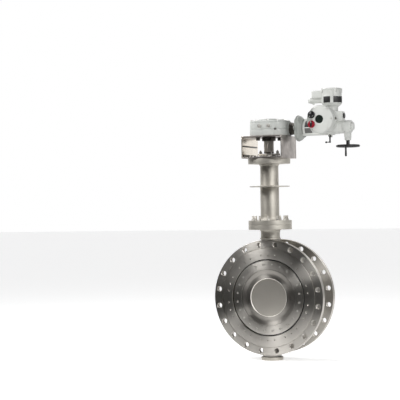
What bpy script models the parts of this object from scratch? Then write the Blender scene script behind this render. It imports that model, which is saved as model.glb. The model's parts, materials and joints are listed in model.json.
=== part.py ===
"""Cryogenic double-flanged butterfly valve with extended bonnet, worm gearbox and electric actuator.

Units are metres and +Z is up.  The bore runs along +Y, with the front (upstream) flange face in the
plane y = 0 and its centre at the origin.  The shaft stands on a vertical axis behind the disc seat,
and the actuator sits on the +X side.  Sizes further up or out follow from those that carry them.
"""
import math

import bmesh
import bpy
from mathutils import Matrix, Vector

# Clearances
GAP = 0.0003             # between pieces that touch
RUNNING_GAP = 0.0007     # between a turning shaft and what it turns in

# Facets round a full turn
FINE = 48
MEDIUM = 24
COARSE = 16

# Valve body: DN 600 (24 inch) class 150, double-flanged short pattern
FACE_TO_FACE = 0.267
CAVITY_RADIUS = 0.2785
FRONT_BORE_RADIUS = CAVITY_RADIUS - 0.009
REAR_BORE_RADIUS = CAVITY_RADIUS + 0.0075
BARREL_WALL = 0.0485
BARREL_RADIUS = CAVITY_RADIUS + BARREL_WALL
RAISED_FACE_RADIUS = BARREL_RADIUS + 0.019
RAISED_FACE_HEIGHT = 0.002
BOLT_CIRCLE_RADIUS = RAISED_FACE_RADIUS + 0.02865
BOLT_COUNT = 20
BOLT_HOLE = 0.035
FLANGE_RADIUS = BOLT_CIRCLE_RADIUS + 0.03185
FLANGE_THICKNESS = 0.040
FLANGE_FILLET = 0.006
CAVITY_LENGTH = 0.075
REAR_TAPER_LENGTH = 0.035

# Shaft axis
STEM_Y = 0.068
SHAFT_RADIUS = 0.035
SHAFT_TOP_RADIUS = 0.026

# Disc group, depths measured from the front flange face
DISC_RADIUS = CAVITY_RADIUS - 0.0165
DISC_BACK = 0.046
RETAINER_FRONT = 0.004
RETAINER_THICKNESS = 0.0152
RETAINER_BACK = RETAINER_FRONT + RETAINER_THICKNESS
RETAINER_RADIUS = DISC_RADIUS - 0.0015
RETAINER_BORE = RETAINER_RADIUS - 0.059
SEAL_THICKNESS = 0.008
SEAL_RADIUS = DISC_RADIUS + 0.0025
SEAT_GAP = 0.0012
SEAT_LEAD = 0.0055
SEAT_RING_LENGTH = 0.0115
SEAT_POCKET_DEPTH = 0.0045
DISH_FLANK_RADIUS = RETAINER_BORE - 0.0335
DISH_FLOOR_RADIUS = DISH_FLANK_RADIUS - 0.031
DISH_FLANK_DEPTH = 0.0125
DISH_FLOOR_DEPTH = 0.0155
HUB_RADIUS = 0.056
HUB_INNER_END = 0.050
HUB_OUTER_END = DISC_RADIUS - 0.030
PIN_RADIUS = 0.010
PIN_HEIGHT = (HUB_INNER_END + HUB_OUTER_END) / 2 + 0.004

# Shaft bearings and the lower trunnion
BUSH_RADIUS = 0.0425
BUSH_LENGTH = 0.090
BUSH_START = CAVITY_RADIUS + 0.0095
TRUNNION_RADIUS = 0.066
TRUNNION_LENGTH = 0.0895
TRUNNION_BOTTOM = -BARREL_RADIUS - TRUNNION_LENGTH
SHAFT_BOTTOM = TRUNNION_BOTTOM + 0.0125
BOTTOM_GASKET = 0.002
BOTTOM_COVER_RADIUS = TRUNNION_RADIUS + 0.012
BOTTOM_COVER_THICKNESS = 0.022

# Neck and bonnet joint
NECK_RADIUS = 0.068
NECK_ROOT_RADIUS = NECK_RADIUS - 0.0025
NECK_COLLAR_RADIUS = NECK_RADIUS + 0.0045
NECK_START = BARREL_RADIUS + 0.081
NECK_COLLAR_TOP = NECK_START + 0.013
NECK_FLANGE_BOTTOM = FLANGE_RADIUS + 0.0715
NECK_FLANGE_THICKNESS = 0.0315
NECK_FLANGE_TOP = NECK_FLANGE_BOTTOM + NECK_FLANGE_THICKNESS
STUD_CIRCLE_RADIUS = 0.123
STUD_COUNT = 12
STUD_RADIUS = 0.008
STUD_NUT_RADIUS = 0.0145
STUD_NUT_HEIGHT = 0.018
STUD_DEPTH = 0.028
STUD_PROUD = 0.031
BONNET_RADIUS = STUD_CIRCLE_RADIUS + 0.030
BONNET_GASKET = 0.0024
BONNET_BOTTOM = NECK_FLANGE_TOP + BONNET_GASKET + 2 * GAP
BONNET_FLANGE_THICKNESS = 0.0305
BONNET_FLANGE_TOP = BONNET_BOTTOM + BONNET_FLANGE_THICKNESS

# Extension tube, drip plate and top flange
TUBE_RADIUS = 0.0645
TUBE_WALL = 0.009
EXTENSION_LENGTH = 0.399
TOP_FLANGE_BOTTOM = BONNET_FLANGE_TOP + EXTENSION_LENGTH
TOP_FLANGE_THICKNESS = 0.037
TOP_FLANGE_TOP = TOP_FLANGE_BOTTOM + TOP_FLANGE_THICKNESS
TOP_FLANGE_RADIUS = BONNET_RADIUS - 0.004
WELD_COLLAR_RADIUS = TUBE_RADIUS + 0.0075
WELD_COLLAR_HEIGHT = 0.016
DRIP_PLATE_RADIUS = TUBE_RADIUS + 0.078
DRIP_PLATE_THICKNESS = 0.0055
DRIP_PLATE_DROP = 0.163
DRIP_PLATE_HEIGHT = TOP_FLANGE_BOTTOM - DRIP_PLATE_DROP

# Stuffing box
PACKING_RADIUS = 0.0440
PACKING_LENGTH = 0.070
STUFFING_DEPTH = 0.100
STUFFING_FLOOR = TOP_FLANGE_TOP - STUFFING_DEPTH
PACKING_TOP = STUFFING_FLOOR + GAP + PACKING_LENGTH
SHAFT_STEP = STUFFING_FLOOR - 0.011

# Bracket between the top flange and the gearbox
BRACKET_SIZE = 2 * (TOP_FLANGE_RADIUS + 0.001)
BRACKET_HEIGHT = 0.157
BRACKET_WALL = 0.007
BRACKET_BOTTOM = TOP_FLANGE_TOP + GAP
BRACKET_TOP = BRACKET_BOTTOM + BRACKET_HEIGHT
BASE_PLATE_THICKNESS = 0.010
BASE_PLATE_BORE = 0.100
BASE_PLATE_TOP = BRACKET_BOTTOM + BASE_PLATE_THICKNESS
TOP_PLATE_THICKNESS = 0.008
TOP_PLATE_BORE = 0.106
TOP_PLATE_BOTTOM = BRACKET_TOP - TOP_PLATE_THICKNESS

# Gland bar over the stuffing box
GLAND_BAR_HALF_LENGTH = 0.083
GLAND_BAR_HALF_WIDTH = 0.040
GLAND_BAR_THICKNESS = 0.014
GLAND_BAR_BOTTOM = BASE_PLATE_TOP + 0.010
GLAND_BAR_TOP = GLAND_BAR_BOTTOM + GLAND_BAR_THICKNESS
GLAND_STUD_OFFSET = 0.064
GLAND_STUD_RADIUS = 0.006
GLAND_STUD_PROUD = 0.0247
GLAND_NUT_RADIUS = 0.011
GLAND_NUT_HEIGHT = 0.010

# Worm gearbox
GEARBOX_LEFT = BRACKET_SIZE / 2 - 0.028
GEARBOX_RIGHT = BRACKET_SIZE / 2 - 0.012
GEARBOX_FRONT = BRACKET_SIZE / 2 - 0.055
GEARBOX_BACK = BRACKET_SIZE / 2 - 0.028
GEARBOX_LEFT_CORNER = 0.050
GEARBOX_RIGHT_CORNER = 0.090
GEARBOX_HEIGHT = 0.096
GEARBOX_FLOOR = 0.018
GEARBOX_CAVITY_RADIUS = GEARBOX_FRONT - 0.013
GEARBOX_BOTTOM = BRACKET_TOP + GAP
GEARBOX_TOP = GEARBOX_BOTTOM + GEARBOX_HEIGHT
COVER_THICKNESS = 0.013
COVER_BOTTOM = GEARBOX_TOP + GAP
COVER_TOP = COVER_BOTTOM + COVER_THICKNESS
DOME_RADIUS = GEARBOX_CAVITY_RADIUS - 0.0045
DOME_HEIGHT = 0.012
DOME_TOP = COVER_TOP + DOME_HEIGHT
INDICATOR_RADIUS = 0.030
INDICATOR_RECESS = 0.008
SHAFT_TOP = COVER_TOP - 0.0019
WORM_OFFSET = GEARBOX_BACK - 0.047
WORM_Y = STEM_Y + WORM_OFFSET
WORM_HEIGHT = 0.052
WORM_Z = GEARBOX_BOTTOM + WORM_HEIGHT
WORM_RADIUS = 0.017
WORM_HALF_LENGTH = 0.040
WORM_BORE = 0.024
WORM_BORE_WALL = 0.030
QUADRANT_RADIUS = WORM_OFFSET - WORM_RADIUS - 0.002
QUADRANT_HUB_RADIUS = 0.042
QUADRANT_THICKNESS = 0.030
STOP_BOLT_RADIUS = 0.008
STOP_BOLT_LENGTH = 0.048
STOP_BOLT_PROUD = 0.020
STOP_BOLT_X = 0.034
STOP_BOLT_Z = GEARBOX_BOTTOM + GEARBOX_FLOOR + 0.052

# Drive coupling
COUPLING_RADIUS = 0.034
COUPLING_BOTTOM = GLAND_BAR_TOP + 0.0037
COUPLING_COLLAR_RADIUS = 0.048
COUPLING_COLLAR_HEIGHT = 0.032

# Input neck and adapter flange
INPUT_NECK_RADIUS = 0.044
DRUM_START = GEARBOX_RIGHT + 0.052
DRUM_RADIUS = 0.0920
DRUM_LENGTH = 0.014
DRUM_END = DRUM_START + DRUM_LENGTH
WORM_SHAFT_RADIUS = 0.0125
WORM_SHAFT_END = DRUM_END + 0.074

# Electric actuator
BASE_FLANGE_RADIUS = 0.0735
BASE_FLANGE_LENGTH = 0.012
SLEEVE_RADIUS = 0.026
SLEEVE_LENGTH = 0.120
DRIVE_CASE_RADIUS = 0.051
CONTROL_X = DRUM_END + 0.193
CONTROL_Z = WORM_Z + 0.0504
CONTROL_RADIUS = 0.0975
CONTROL_CASE_FRONT = WORM_Y - 0.113
CONTROL_CASE_BACK = WORM_Y + 0.072
CONTROL_COVER_THICKNESS = 0.022
CONTROL_COVER_FRONT = CONTROL_CASE_FRONT - GAP - CONTROL_COVER_THICKNESS
CONTROL_COVER_EDGE = CONTROL_X - 0.047
DRIVE_CASE_END = CONTROL_X + 0.103
WINDOW_RADIUS = 0.029
WINDOW_DEPTH = 0.006
SELECTOR_X = CONTROL_X - 0.055
BLACK_SELECTOR_Z = CONTROL_Z + 0.032
RED_SELECTOR_Z = CONTROL_Z - 0.034
SELECTOR_RADIUS = 0.025
SELECTOR_THICKNESS = 0.019
SELECTOR_STEM_RADIUS = 0.0065
SELECTOR_STEM_DEPTH = 0.010
SELECTOR_PROUD = 0.024
TERMINAL_X = CONTROL_X + 0.050
TERMINAL_RADIUS = 0.0715
TERMINAL_BOTTOM = CONTROL_Z + 0.111
TERMINAL_HEIGHT = 0.098
TERMINAL_TOP = TERMINAL_BOTTOM + TERMINAL_HEIGHT
TERMINAL_NECK_RADIUS = 0.044
TERMINAL_FLARE_HEIGHT = 0.020
TERMINAL_LID_THICKNESS = 0.010
TERMINAL_WALL = 0.008
ENTRY_BOSS_Z = TERMINAL_BOTTOM + 0.029
ENTRY_BOSS_RADIUS = 0.020
ENTRY_BOSS_START = TERMINAL_X - 0.155
ENTRY_PLUG_LENGTH = 0.018
SIDE_BOX_START = TERMINAL_X - 0.143
SIDE_BOX_BOTTOM = ENTRY_BOSS_Z + 0.020
SIDE_BOX_TOP = TERMINAL_TOP - 0.002
SIDE_BOX_DEPTH = 0.070
DRIVE_END_RADIUS = 0.0435
DRIVE_END_COLLAR_RADIUS = DRIVE_END_RADIUS + 0.004
DRIVE_END_COLLAR = DRIVE_CASE_END + 0.038
DRIVE_END_FACE = DRIVE_END_COLLAR + 0.052
END_CAP_RADIUS = 0.029
END_CAP_LENGTH = 0.014
SWITCH_BOX_BOTTOM = CONTROL_Z - 0.013
SWITCH_BOX_TOP = CONTROL_Z + 0.055
SWITCH_BOX_END = CONTROL_X + 0.143
MOTOR_RADIUS = 0.070
MOTOR_LENGTH = 0.130

# Handwheel of the actuator
HANDWHEEL_X = DRIVE_END_COLLAR + 0.0215
HANDWHEEL_COLUMN_RADIUS = 0.025
HANDWHEEL_COLUMN_LENGTH = 0.048
HANDWHEEL_COLUMN_TOP = WORM_Z - 0.0486
HANDWHEEL_COLUMN_BOTTOM = HANDWHEEL_COLUMN_TOP - HANDWHEEL_COLUMN_LENGTH
HANDWHEEL_HEIGHT = HANDWHEEL_COLUMN_BOTTOM - 0.0395
HANDWHEEL_RADIUS = 0.0740
HANDWHEEL_RIM = 0.0088
HANDWHEEL_SPINDLE_RADIUS = 0.009
HANDWHEEL_SPINDLE_DEPTH = 0.020
HANDWHEEL_HUB_RADIUS = 0.0125
SPOKE_COUNT = 3
SPOKE_RADIUS = 0.0055
SPINNER_ANGLE = math.radians(-84.5)
SPINNER_RADIUS = 0.0070
SPINNER_LENGTH = 0.066
SPINNER_PIN_RADIUS = 0.0030

# Hand and motor changeover lever
LEVER_X = CONTROL_X + 0.042
LEVER_PIVOT_Z = WORM_Z - 0.0626
LEVER_HUB_RADIUS = 0.009
LEVER_HUB_LENGTH = 0.018
LEVER_FRONT = WORM_Y - 0.039
LEVER_REACH = 0.050
LEVER_STEM_RADIUS = 0.0060
LEVER_GRIP_LENGTH = 0.028
LEVER_PIN_RADIUS = 0.0040

# Seat and seal faces lie on a sphere about the shaft axis, so that their gap stays even in turning
SEAL_FRONT = RETAINER_BACK + GAP
SEAL_BACK = SEAL_FRONT + SEAL_THICKNESS
DISC_LAND = SEAL_BACK + GAP
SEAL_SPHERE = math.hypot(SEAL_RADIUS, STEM_Y - SEAL_FRONT)

X_AXIS = Matrix.Rotation(math.radians(90), 4, "Y")
Y_AXIS = Matrix.Rotation(math.radians(-90), 4, "X")
Z_AXIS = Matrix.Identity(4)


def clear_scene():
    for item in list(bpy.data.objects):
        bpy.data.objects.remove(item, do_unlink=True)


def make_collection(name):
    collection = bpy.data.collections.new(name)
    bpy.context.scene.collection.children.link(collection)
    return collection


def make_material(name, colour, roughness, metallic):
    material = bpy.data.materials.new(name)
    material.use_nodes = True
    shader = material.node_tree.nodes["Principled BSDF"]
    shader.inputs["Base Color"].default_value = (*colour, 1.0)
    shader.inputs["Roughness"].default_value = roughness
    shader.inputs["Metallic"].default_value = metallic
    return material


def link_object(name, mesh, collection):
    item = bpy.data.objects.new(name, mesh)
    collection.objects.link(item)
    return item


def part(item, material):
    """Finish a visible piece with its one material."""
    item.data.materials.clear()
    item.data.materials.append(material)
    return item


def as_tool(item):
    """Keep a cutter or a joined shape out of the model."""
    item.hide_render = True
    item.display_type = "WIRE"
    return item


def cut(item, tool):
    modifier = item.modifiers.new("cut " + tool.name, "BOOLEAN")
    modifier.operation = "DIFFERENCE"
    modifier.object = as_tool(tool)


def join(item, tool):
    modifier = item.modifiers.new("join " + tool.name, "BOOLEAN")
    modifier.operation = "UNION"
    modifier.object = as_tool(tool)


def bevel(item, width, segments=1):
    modifier = item.modifiers.new("bevel", "BEVEL")
    modifier.width = width
    modifier.segments = segments
    modifier.limit_method = "ANGLE"
    modifier.angle_limit = math.radians(40)


def turned(name, profile, axis, centre, segments, collection, closed=False):
    """Turn a profile of (radius, height) points, listed from top to bottom, round an axis."""
    mesh = bpy.data.meshes.new(name)
    builder = bmesh.new()
    points = [builder.verts.new((radius, 0.0, height)) for radius, height in profile]
    for start, end in zip(points, points[1:]):
        builder.edges.new((start, end))
    if closed:
        builder.edges.new((points[-1], points[0]))
    builder.to_mesh(mesh)
    builder.free()
    item = link_object(name, mesh, collection)
    item.matrix_world = Matrix.Translation(centre) @ axis
    screw = item.modifiers.new("turn", "SCREW")
    screw.axis = "Z"
    screw.steps = segments
    screw.render_steps = segments
    screw.use_merge_vertices = True
    screw.merge_threshold = 0.00001
    screw.use_smooth_shade = True
    return item


def ring(name, outer, inner, start, end, axis, centre, segments, collection):
    """A plain ring or sleeve between two heights along its axis."""
    profile = [(outer, end), (outer, start), (inner, start), (inner, end)]
    return turned(name, profile, axis, centre, segments, collection, closed=True)


def cylinder(name, radius, start, end, axis, centre, segments, collection, end_radius=None):
    """A cylinder, or a cone where end_radius is given, between two heights along its axis."""
    mesh = bpy.data.meshes.new(name)
    builder = bmesh.new()
    far_radius = radius if end_radius is None else end_radius
    bmesh.ops.create_cone(builder, cap_ends=True, segments=segments, radius1=radius,
                          radius2=far_radius, depth=end - start)
    bmesh.ops.translate(builder, verts=builder.verts, vec=(0.0, 0.0, (start + end) / 2))
    builder.to_mesh(mesh)
    builder.free()
    item = link_object(name, mesh, collection)
    item.matrix_world = Matrix.Translation(centre) @ axis
    return item


def cylinder_set(name, radius, start, end, places, axis, centre, segments, collection):
    """Several equal cylinders in one cutter, at places across the axis."""
    mesh = bpy.data.meshes.new(name)
    builder = bmesh.new()
    for across, up in places:
        shift = Matrix.Translation((across, up, (start + end) / 2))
        bmesh.ops.create_cone(builder, cap_ends=True, segments=segments, radius1=radius,
                              radius2=radius, depth=end - start, matrix=shift)
    builder.to_mesh(mesh)
    builder.free()
    item = link_object(name, mesh, collection)
    item.matrix_world = Matrix.Translation(centre) @ axis
    return item


def box(name, low, high, collection, edge=0.0):
    """A box between two corners, with its scale applied."""
    mesh = bpy.data.meshes.new(name)
    builder = bmesh.new()
    bmesh.ops.create_cube(builder, size=1.0)
    size = Vector(high) - Vector(low)
    middle = (Vector(high) + Vector(low)) / 2
    bmesh.ops.scale(builder, verts=builder.verts, vec=size)
    builder.to_mesh(mesh)
    builder.free()
    item = link_object(name, mesh, collection)
    item.location = middle
    if edge > 0.0:
        bevel(item, edge)
    return item


def circle_places(radius, count, first_angle):
    places = []
    for index in range(count):
        angle = first_angle + index * math.tau / count
        places.append((radius * math.cos(angle), radius * math.sin(angle)))
    return places


def arc_points(centre_x, centre_y, radius, start, end, steps):
    points = []
    for index in range(steps + 1):
        angle = math.radians(start + (end - start) * index / steps)
        points.append((centre_x + radius * math.cos(angle), centre_y + radius * math.sin(angle)))
    return points


def outline_solid(name, points, bottom, top, centre, collection):
    """A flat outline in X and Y, made solid between two heights."""
    curve = bpy.data.curves.new(name, "CURVE")
    curve.dimensions = "2D"
    curve.fill_mode = "BOTH"
    curve.extrude = (top - bottom) / 2
    spline = curve.splines.new("POLY")
    spline.points.add(len(points) - 1)
    for target, (across, along) in zip(spline.points, points):
        target.co = (across, along, 0.0, 1.0)
    spline.use_cyclic_u = True
    shape = bpy.data.objects.new(name + " outline", curve)
    collection.objects.link(shape)
    shape.location = (centre[0], centre[1], centre[2] + (bottom + top) / 2)
    bpy.context.view_layer.update()
    evaluated = shape.evaluated_get(bpy.context.evaluated_depsgraph_get())
    mesh = bpy.data.meshes.new_from_object(evaluated)
    mesh.name = name
    builder = bmesh.new()
    builder.from_mesh(mesh)
    bmesh.ops.remove_doubles(builder, verts=builder.verts, dist=0.00001)
    bmesh.ops.recalc_face_normals(builder, faces=builder.faces)
    builder.to_mesh(mesh)
    builder.free()
    item = link_object(name, mesh, collection)
    item.matrix_world = shape.matrix_world
    bpy.data.objects.remove(shape, do_unlink=True)
    return item


def sphere(name, radius, centre, collection):
    mesh = bpy.data.meshes.new(name)
    builder = bmesh.new()
    bmesh.ops.create_uvsphere(builder, u_segments=12, v_segments=8, radius=radius)
    builder.to_mesh(mesh)
    builder.free()
    item = link_object(name, mesh, collection)
    item.location = centre
    return item


def swing_radius(depth, clearance):
    """Radius, at a depth along the bore, of the sphere about the shaft that the seal swings in."""
    reach = SEAL_SPHERE + clearance
    return math.sqrt(reach * reach - (STEM_Y - depth) ** 2)


def build_valve_body(model, tools, steel):
    """Flanges, barrel, bore, neck and trunnion as one casting."""
    outer = FLANGE_RADIUS
    barrel = BARREL_RADIUS
    raised = RAISED_FACE_RADIUS
    back = FACE_TO_FACE
    front_plane = RAISED_FACE_HEIGHT
    back_plane = back - RAISED_FACE_HEIGHT
    seat_seam = SEAL_FRONT + SEAT_RING_LENGTH
    seat_start = SEAL_FRONT - SEAT_LEAD - GAP
    cavity_back = STEM_Y + CAVITY_LENGTH
    seat_pocket = FRONT_BORE_RADIUS + SEAT_POCKET_DEPTH
    profile = [
        (REAR_BORE_RADIUS, back),
        (raised, back),
        (raised, back_plane),
        (outer, back_plane),
        (outer, back_plane - FLANGE_THICKNESS),
        (barrel, back_plane - FLANGE_THICKNESS - FLANGE_FILLET),
        (barrel, front_plane + FLANGE_THICKNESS + FLANGE_FILLET),
        (outer, front_plane + FLANGE_THICKNESS),
        (outer, front_plane),
        (raised, front_plane),
        (raised, 0.0),
        (FRONT_BORE_RADIUS, 0.0),
        (FRONT_BORE_RADIUS, seat_start),
        (seat_pocket, seat_start),
        (seat_pocket, seat_seam),
        (CAVITY_RADIUS, seat_seam + 0.004),
        (CAVITY_RADIUS, cavity_back),
        (REAR_BORE_RADIUS, cavity_back + REAR_TAPER_LENGTH),
    ]
    body = turned("valve_body", profile, Y_AXIS, (0, 0, 0), FINE, model, closed=True)
    stem = (0.0, STEM_Y, 0.0)

    flange_top = NECK_FLANGE_TOP
    pilot = BUSH_RADIUS / 2
    neck_profile = [
        (pilot, flange_top),
        (BONNET_RADIUS, flange_top),
        (BONNET_RADIUS, NECK_FLANGE_BOTTOM),
        (NECK_RADIUS + 0.008, NECK_FLANGE_BOTTOM),
        (NECK_RADIUS, NECK_FLANGE_BOTTOM - 0.010),
        (NECK_RADIUS, NECK_COLLAR_TOP),
        (NECK_COLLAR_RADIUS, NECK_COLLAR_TOP - 0.004),
        (NECK_COLLAR_RADIUS, NECK_START),
        (NECK_ROOT_RADIUS, NECK_START),
        (NECK_ROOT_RADIUS, CAVITY_RADIUS + 0.010),
        (pilot, CAVITY_RADIUS + 0.010),
    ]
    join(body, turned("neck", neck_profile, Z_AXIS, stem, MEDIUM, tools, closed=True))
    join(body, cylinder("trunnion", TRUNNION_RADIUS, TRUNNION_BOTTOM, -CAVITY_RADIUS - 0.010,
                        Z_AXIS, stem, MEDIUM, tools))

    holes = circle_places(BOLT_CIRCLE_RADIUS, BOLT_COUNT, math.pi / 2 + math.pi / BOLT_COUNT)
    front_holes = cylinder_set("front flange holes", BOLT_HOLE / 2, -0.010,
                               front_plane + FLANGE_THICKNESS + 0.008, holes, Y_AXIS,
                               (0, 0, 0), 8, tools)
    back_holes = cylinder_set("rear flange holes", BOLT_HOLE / 2,
                              back_plane - FLANGE_THICKNESS - 0.008, back + 0.010, holes,
                              Y_AXIS, (0, 0, 0), 8, tools)
    cut(body, front_holes)
    cut(body, back_holes)
    cut(body, cylinder("shaft bore", BUSH_RADIUS + GAP, TRUNNION_BOTTOM - 0.020,
                       flange_top + 0.020, Z_AXIS, stem, MEDIUM, tools))
    stud_places = circle_places(STUD_CIRCLE_RADIUS, STUD_COUNT, math.pi / STUD_COUNT)
    stud_low = BONNET_BOTTOM - STUD_DEPTH
    cut(body, cylinder_set("stud holes", STUD_RADIUS + GAP, stud_low - 0.002,
                           flange_top + 0.010, stud_places, Z_AXIS, stem, 6, tools))
    return part(body, steel)


def build_seat_and_bearings(model, dark_steel, bronze):
    """Seat ring in the body, and the two shaft bushes."""
    origin = (0, 0, 0)
    start = SEAL_FRONT - SEAT_LEAD
    end = SEAL_FRONT + SEAT_RING_LENGTH - GAP
    outer = FRONT_BORE_RADIUS + SEAT_POCKET_DEPTH - GAP
    profile = [
        (outer, end),
        (outer, start),
        (FRONT_BORE_RADIUS - 0.001, start),
        (swing_radius(SEAL_FRONT, SEAT_GAP), SEAL_FRONT),
        (swing_radius(end, SEAT_GAP), end),
    ]
    seat = turned("body_seat_ring", profile, Y_AXIS, origin, FINE, model, closed=True)
    part(seat, dark_steel)
    stem = (0.0, STEM_Y, 0.0)
    bush_bore = SHAFT_RADIUS + RUNNING_GAP
    upper = ring("upper_bushing", BUSH_RADIUS, bush_bore, BUSH_START, BUSH_START + BUSH_LENGTH,
                 Z_AXIS, stem, MEDIUM, model)
    lower = ring("lower_bushing", BUSH_RADIUS, bush_bore, -BUSH_START - BUSH_LENGTH, -BUSH_START,
                 Z_AXIS, stem, MEDIUM, model)
    part(upper, bronze)
    part(lower, bronze)


def build_bottom_cover(model, steel, graphite):
    """Blind cover under the lower trunnion, with a spigot that carries the shaft."""
    stem = (0.0, STEM_Y, 0.0)
    gasket_top = TRUNNION_BOTTOM - GAP
    gasket_bottom = gasket_top - BOTTOM_GASKET
    gasket = ring("bottom_gasket", TRUNNION_RADIUS - 0.004, BUSH_RADIUS + 0.002, gasket_bottom,
                  gasket_top, Z_AXIS, stem, MEDIUM, model)
    part(gasket, graphite)
    cover_top = gasket_bottom - GAP
    cover_bottom = cover_top - BOTTOM_COVER_THICKNESS
    spigot_top = SHAFT_BOTTOM - GAP
    profile = [
        (0.0, spigot_top),
        (BUSH_RADIUS - 0.002, spigot_top),
        (BUSH_RADIUS - 0.002, cover_top),
        (BOTTOM_COVER_RADIUS, cover_top),
        (BOTTOM_COVER_RADIUS, cover_bottom + 0.003),
        (BOTTOM_COVER_RADIUS - 0.003, cover_bottom),
        (0.0, cover_bottom),
    ]
    cover = turned("bottom_cover", profile, Z_AXIS, stem, MEDIUM, model)
    part(cover, steel)


def build_bonnet(model, tools, satin, graphite):
    """Gasket, extension tube with its two flanges, drip plate and the ring of studs."""
    stem = (0.0, STEM_Y, 0.0)
    gasket_bottom = NECK_FLANGE_TOP + GAP
    gasket = ring("bonnet_gasket", STUD_CIRCLE_RADIUS - STUD_RADIUS - 0.012, BUSH_RADIUS + 0.010,
                  gasket_bottom, gasket_bottom + BONNET_GASKET, Z_AXIS, stem, MEDIUM, model)
    part(gasket, graphite)
    flange = BONNET_RADIUS
    top_flange = TOP_FLANGE_RADIUS
    inside = TUBE_RADIUS - TUBE_WALL
    shaft_hole = SHAFT_RADIUS + 0.004
    neck_hole = SHAFT_TOP_RADIUS + RUNNING_GAP + 0.001
    packing_hole = PACKING_RADIUS + GAP
    profile = [
        (packing_hole, TOP_FLANGE_TOP),
        (top_flange, TOP_FLANGE_TOP),
        (top_flange, TOP_FLANGE_BOTTOM),
        (WELD_COLLAR_RADIUS, TOP_FLANGE_BOTTOM),
        (TUBE_RADIUS, TOP_FLANGE_BOTTOM - WELD_COLLAR_HEIGHT),
        (TUBE_RADIUS, BONNET_FLANGE_TOP + WELD_COLLAR_HEIGHT),
        (WELD_COLLAR_RADIUS, BONNET_FLANGE_TOP),
        (flange, BONNET_FLANGE_TOP),
        (flange, BONNET_BOTTOM),
        (shaft_hole, BONNET_BOTTOM),
        (shaft_hole, BONNET_FLANGE_TOP),
        (inside, BONNET_FLANGE_TOP + 0.020),
        (inside, SHAFT_STEP + 0.001),
        (neck_hole, SHAFT_STEP + 0.004),
        (neck_hole, STUFFING_FLOOR),
        (packing_hole, STUFFING_FLOOR),
    ]
    bonnet = turned("bonnet_extension", profile, Z_AXIS, stem, MEDIUM, model, closed=True)
    stud_places = circle_places(STUD_CIRCLE_RADIUS, STUD_COUNT, math.pi / STUD_COUNT)
    cut(bonnet, cylinder_set("bonnet stud holes", STUD_RADIUS + GAP, BONNET_BOTTOM - 0.010,
                             BONNET_FLANGE_TOP + 0.010, stud_places, Z_AXIS, stem, 6, tools))
    part(bonnet, satin)
    plate = ring("drip_plate", DRIP_PLATE_RADIUS, TUBE_RADIUS + GAP, DRIP_PLATE_HEIGHT,
                 DRIP_PLATE_HEIGHT + DRIP_PLATE_THICKNESS, Z_AXIS, stem, MEDIUM, model)
    part(plate, satin)

    nut_bottom = BONNET_FLANGE_TOP + GAP
    nut_top = nut_bottom + STUD_NUT_HEIGHT
    stud_low = BONNET_BOTTOM - STUD_DEPTH
    stud_top = BONNET_FLANGE_TOP + STUD_PROUD
    for index, (across, along) in enumerate(stud_places):
        centre = (across, STEM_Y + along, 0.0)
        name = "bonnet_stud_%02d" % (index + 1)
        stud = cylinder(name, STUD_RADIUS, stud_low, stud_top, Z_AXIS, centre, 6, model)
        nut = cylinder(name + " nut", STUD_NUT_RADIUS, nut_bottom, nut_top, Z_AXIS, centre, 6,
                       tools)
        join(stud, nut)
        part(stud, satin)


def build_stuffing_box(model, tools, satin, graphite):
    """Packing, follower, gland bar and its two studs."""
    stem = (0.0, STEM_Y, 0.0)
    bore = SHAFT_TOP_RADIUS + RUNNING_GAP
    packing = ring("packing_set", PACKING_RADIUS, bore, STUFFING_FLOOR + GAP, PACKING_TOP,
                   Z_AXIS, stem, MEDIUM, model)
    part(packing, graphite)
    follower_bottom = PACKING_TOP + GAP
    follower_top = GLAND_BAR_BOTTOM - GAP
    lip = PACKING_RADIUS + 0.004
    profile = [
        (lip, follower_top),
        (lip, follower_top - 0.006),
        (PACKING_RADIUS, follower_top - 0.006),
        (PACKING_RADIUS, follower_bottom),
        (bore, follower_bottom),
        (bore, follower_top),
    ]
    follower = turned("gland_follower", profile, Z_AXIS, stem, MEDIUM, model, closed=True)
    part(follower, satin)

    left = arc_points(-GLAND_STUD_OFFSET, 0.0, GLAND_BAR_HALF_LENGTH - GLAND_STUD_OFFSET, 90, 270, 6)
    right = arc_points(GLAND_STUD_OFFSET, 0.0, GLAND_BAR_HALF_LENGTH - GLAND_STUD_OFFSET, -90, 90, 6)
    low = arc_points(0.0, 0.0, GLAND_BAR_HALF_WIDTH, 240, 300, 4)
    high = arc_points(0.0, 0.0, GLAND_BAR_HALF_WIDTH, 60, 120, 4)
    bar_top = GLAND_BAR_TOP
    bar = outline_solid("gland_flange", left + low + right + high, GLAND_BAR_BOTTOM, bar_top,
                        stem, model)
    cut(bar, cylinder("gland bore", bore + 0.001, GLAND_BAR_BOTTOM - 0.010, bar_top + 0.010,
                      Z_AXIS, stem, MEDIUM, tools))
    stud_places = [(-GLAND_STUD_OFFSET, 0.0), (GLAND_STUD_OFFSET, 0.0)]
    cut(bar, cylinder_set("gland stud holes", GLAND_STUD_RADIUS + GAP, GLAND_BAR_BOTTOM - 0.010,
                          bar_top + 0.010, stud_places, Z_AXIS, stem, 10, tools))
    part(bar, satin)
    stud_top = bar_top + GLAND_STUD_PROUD
    for side, name in ((-1, "gland_stud_left"), (1, "gland_stud_right")):
        centre = (side * GLAND_STUD_OFFSET, STEM_Y, 0.0)
        stud = cylinder(name, GLAND_STUD_RADIUS, BASE_PLATE_TOP + GAP, stud_top, Z_AXIS,
                        centre, 10, model)
        nut = cylinder(name + " nut", GLAND_NUT_RADIUS, bar_top + GAP,
                       bar_top + GAP + GLAND_NUT_HEIGHT, Z_AXIS, centre, 6, tools)
        join(stud, nut)
        part(stud, satin)


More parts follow.
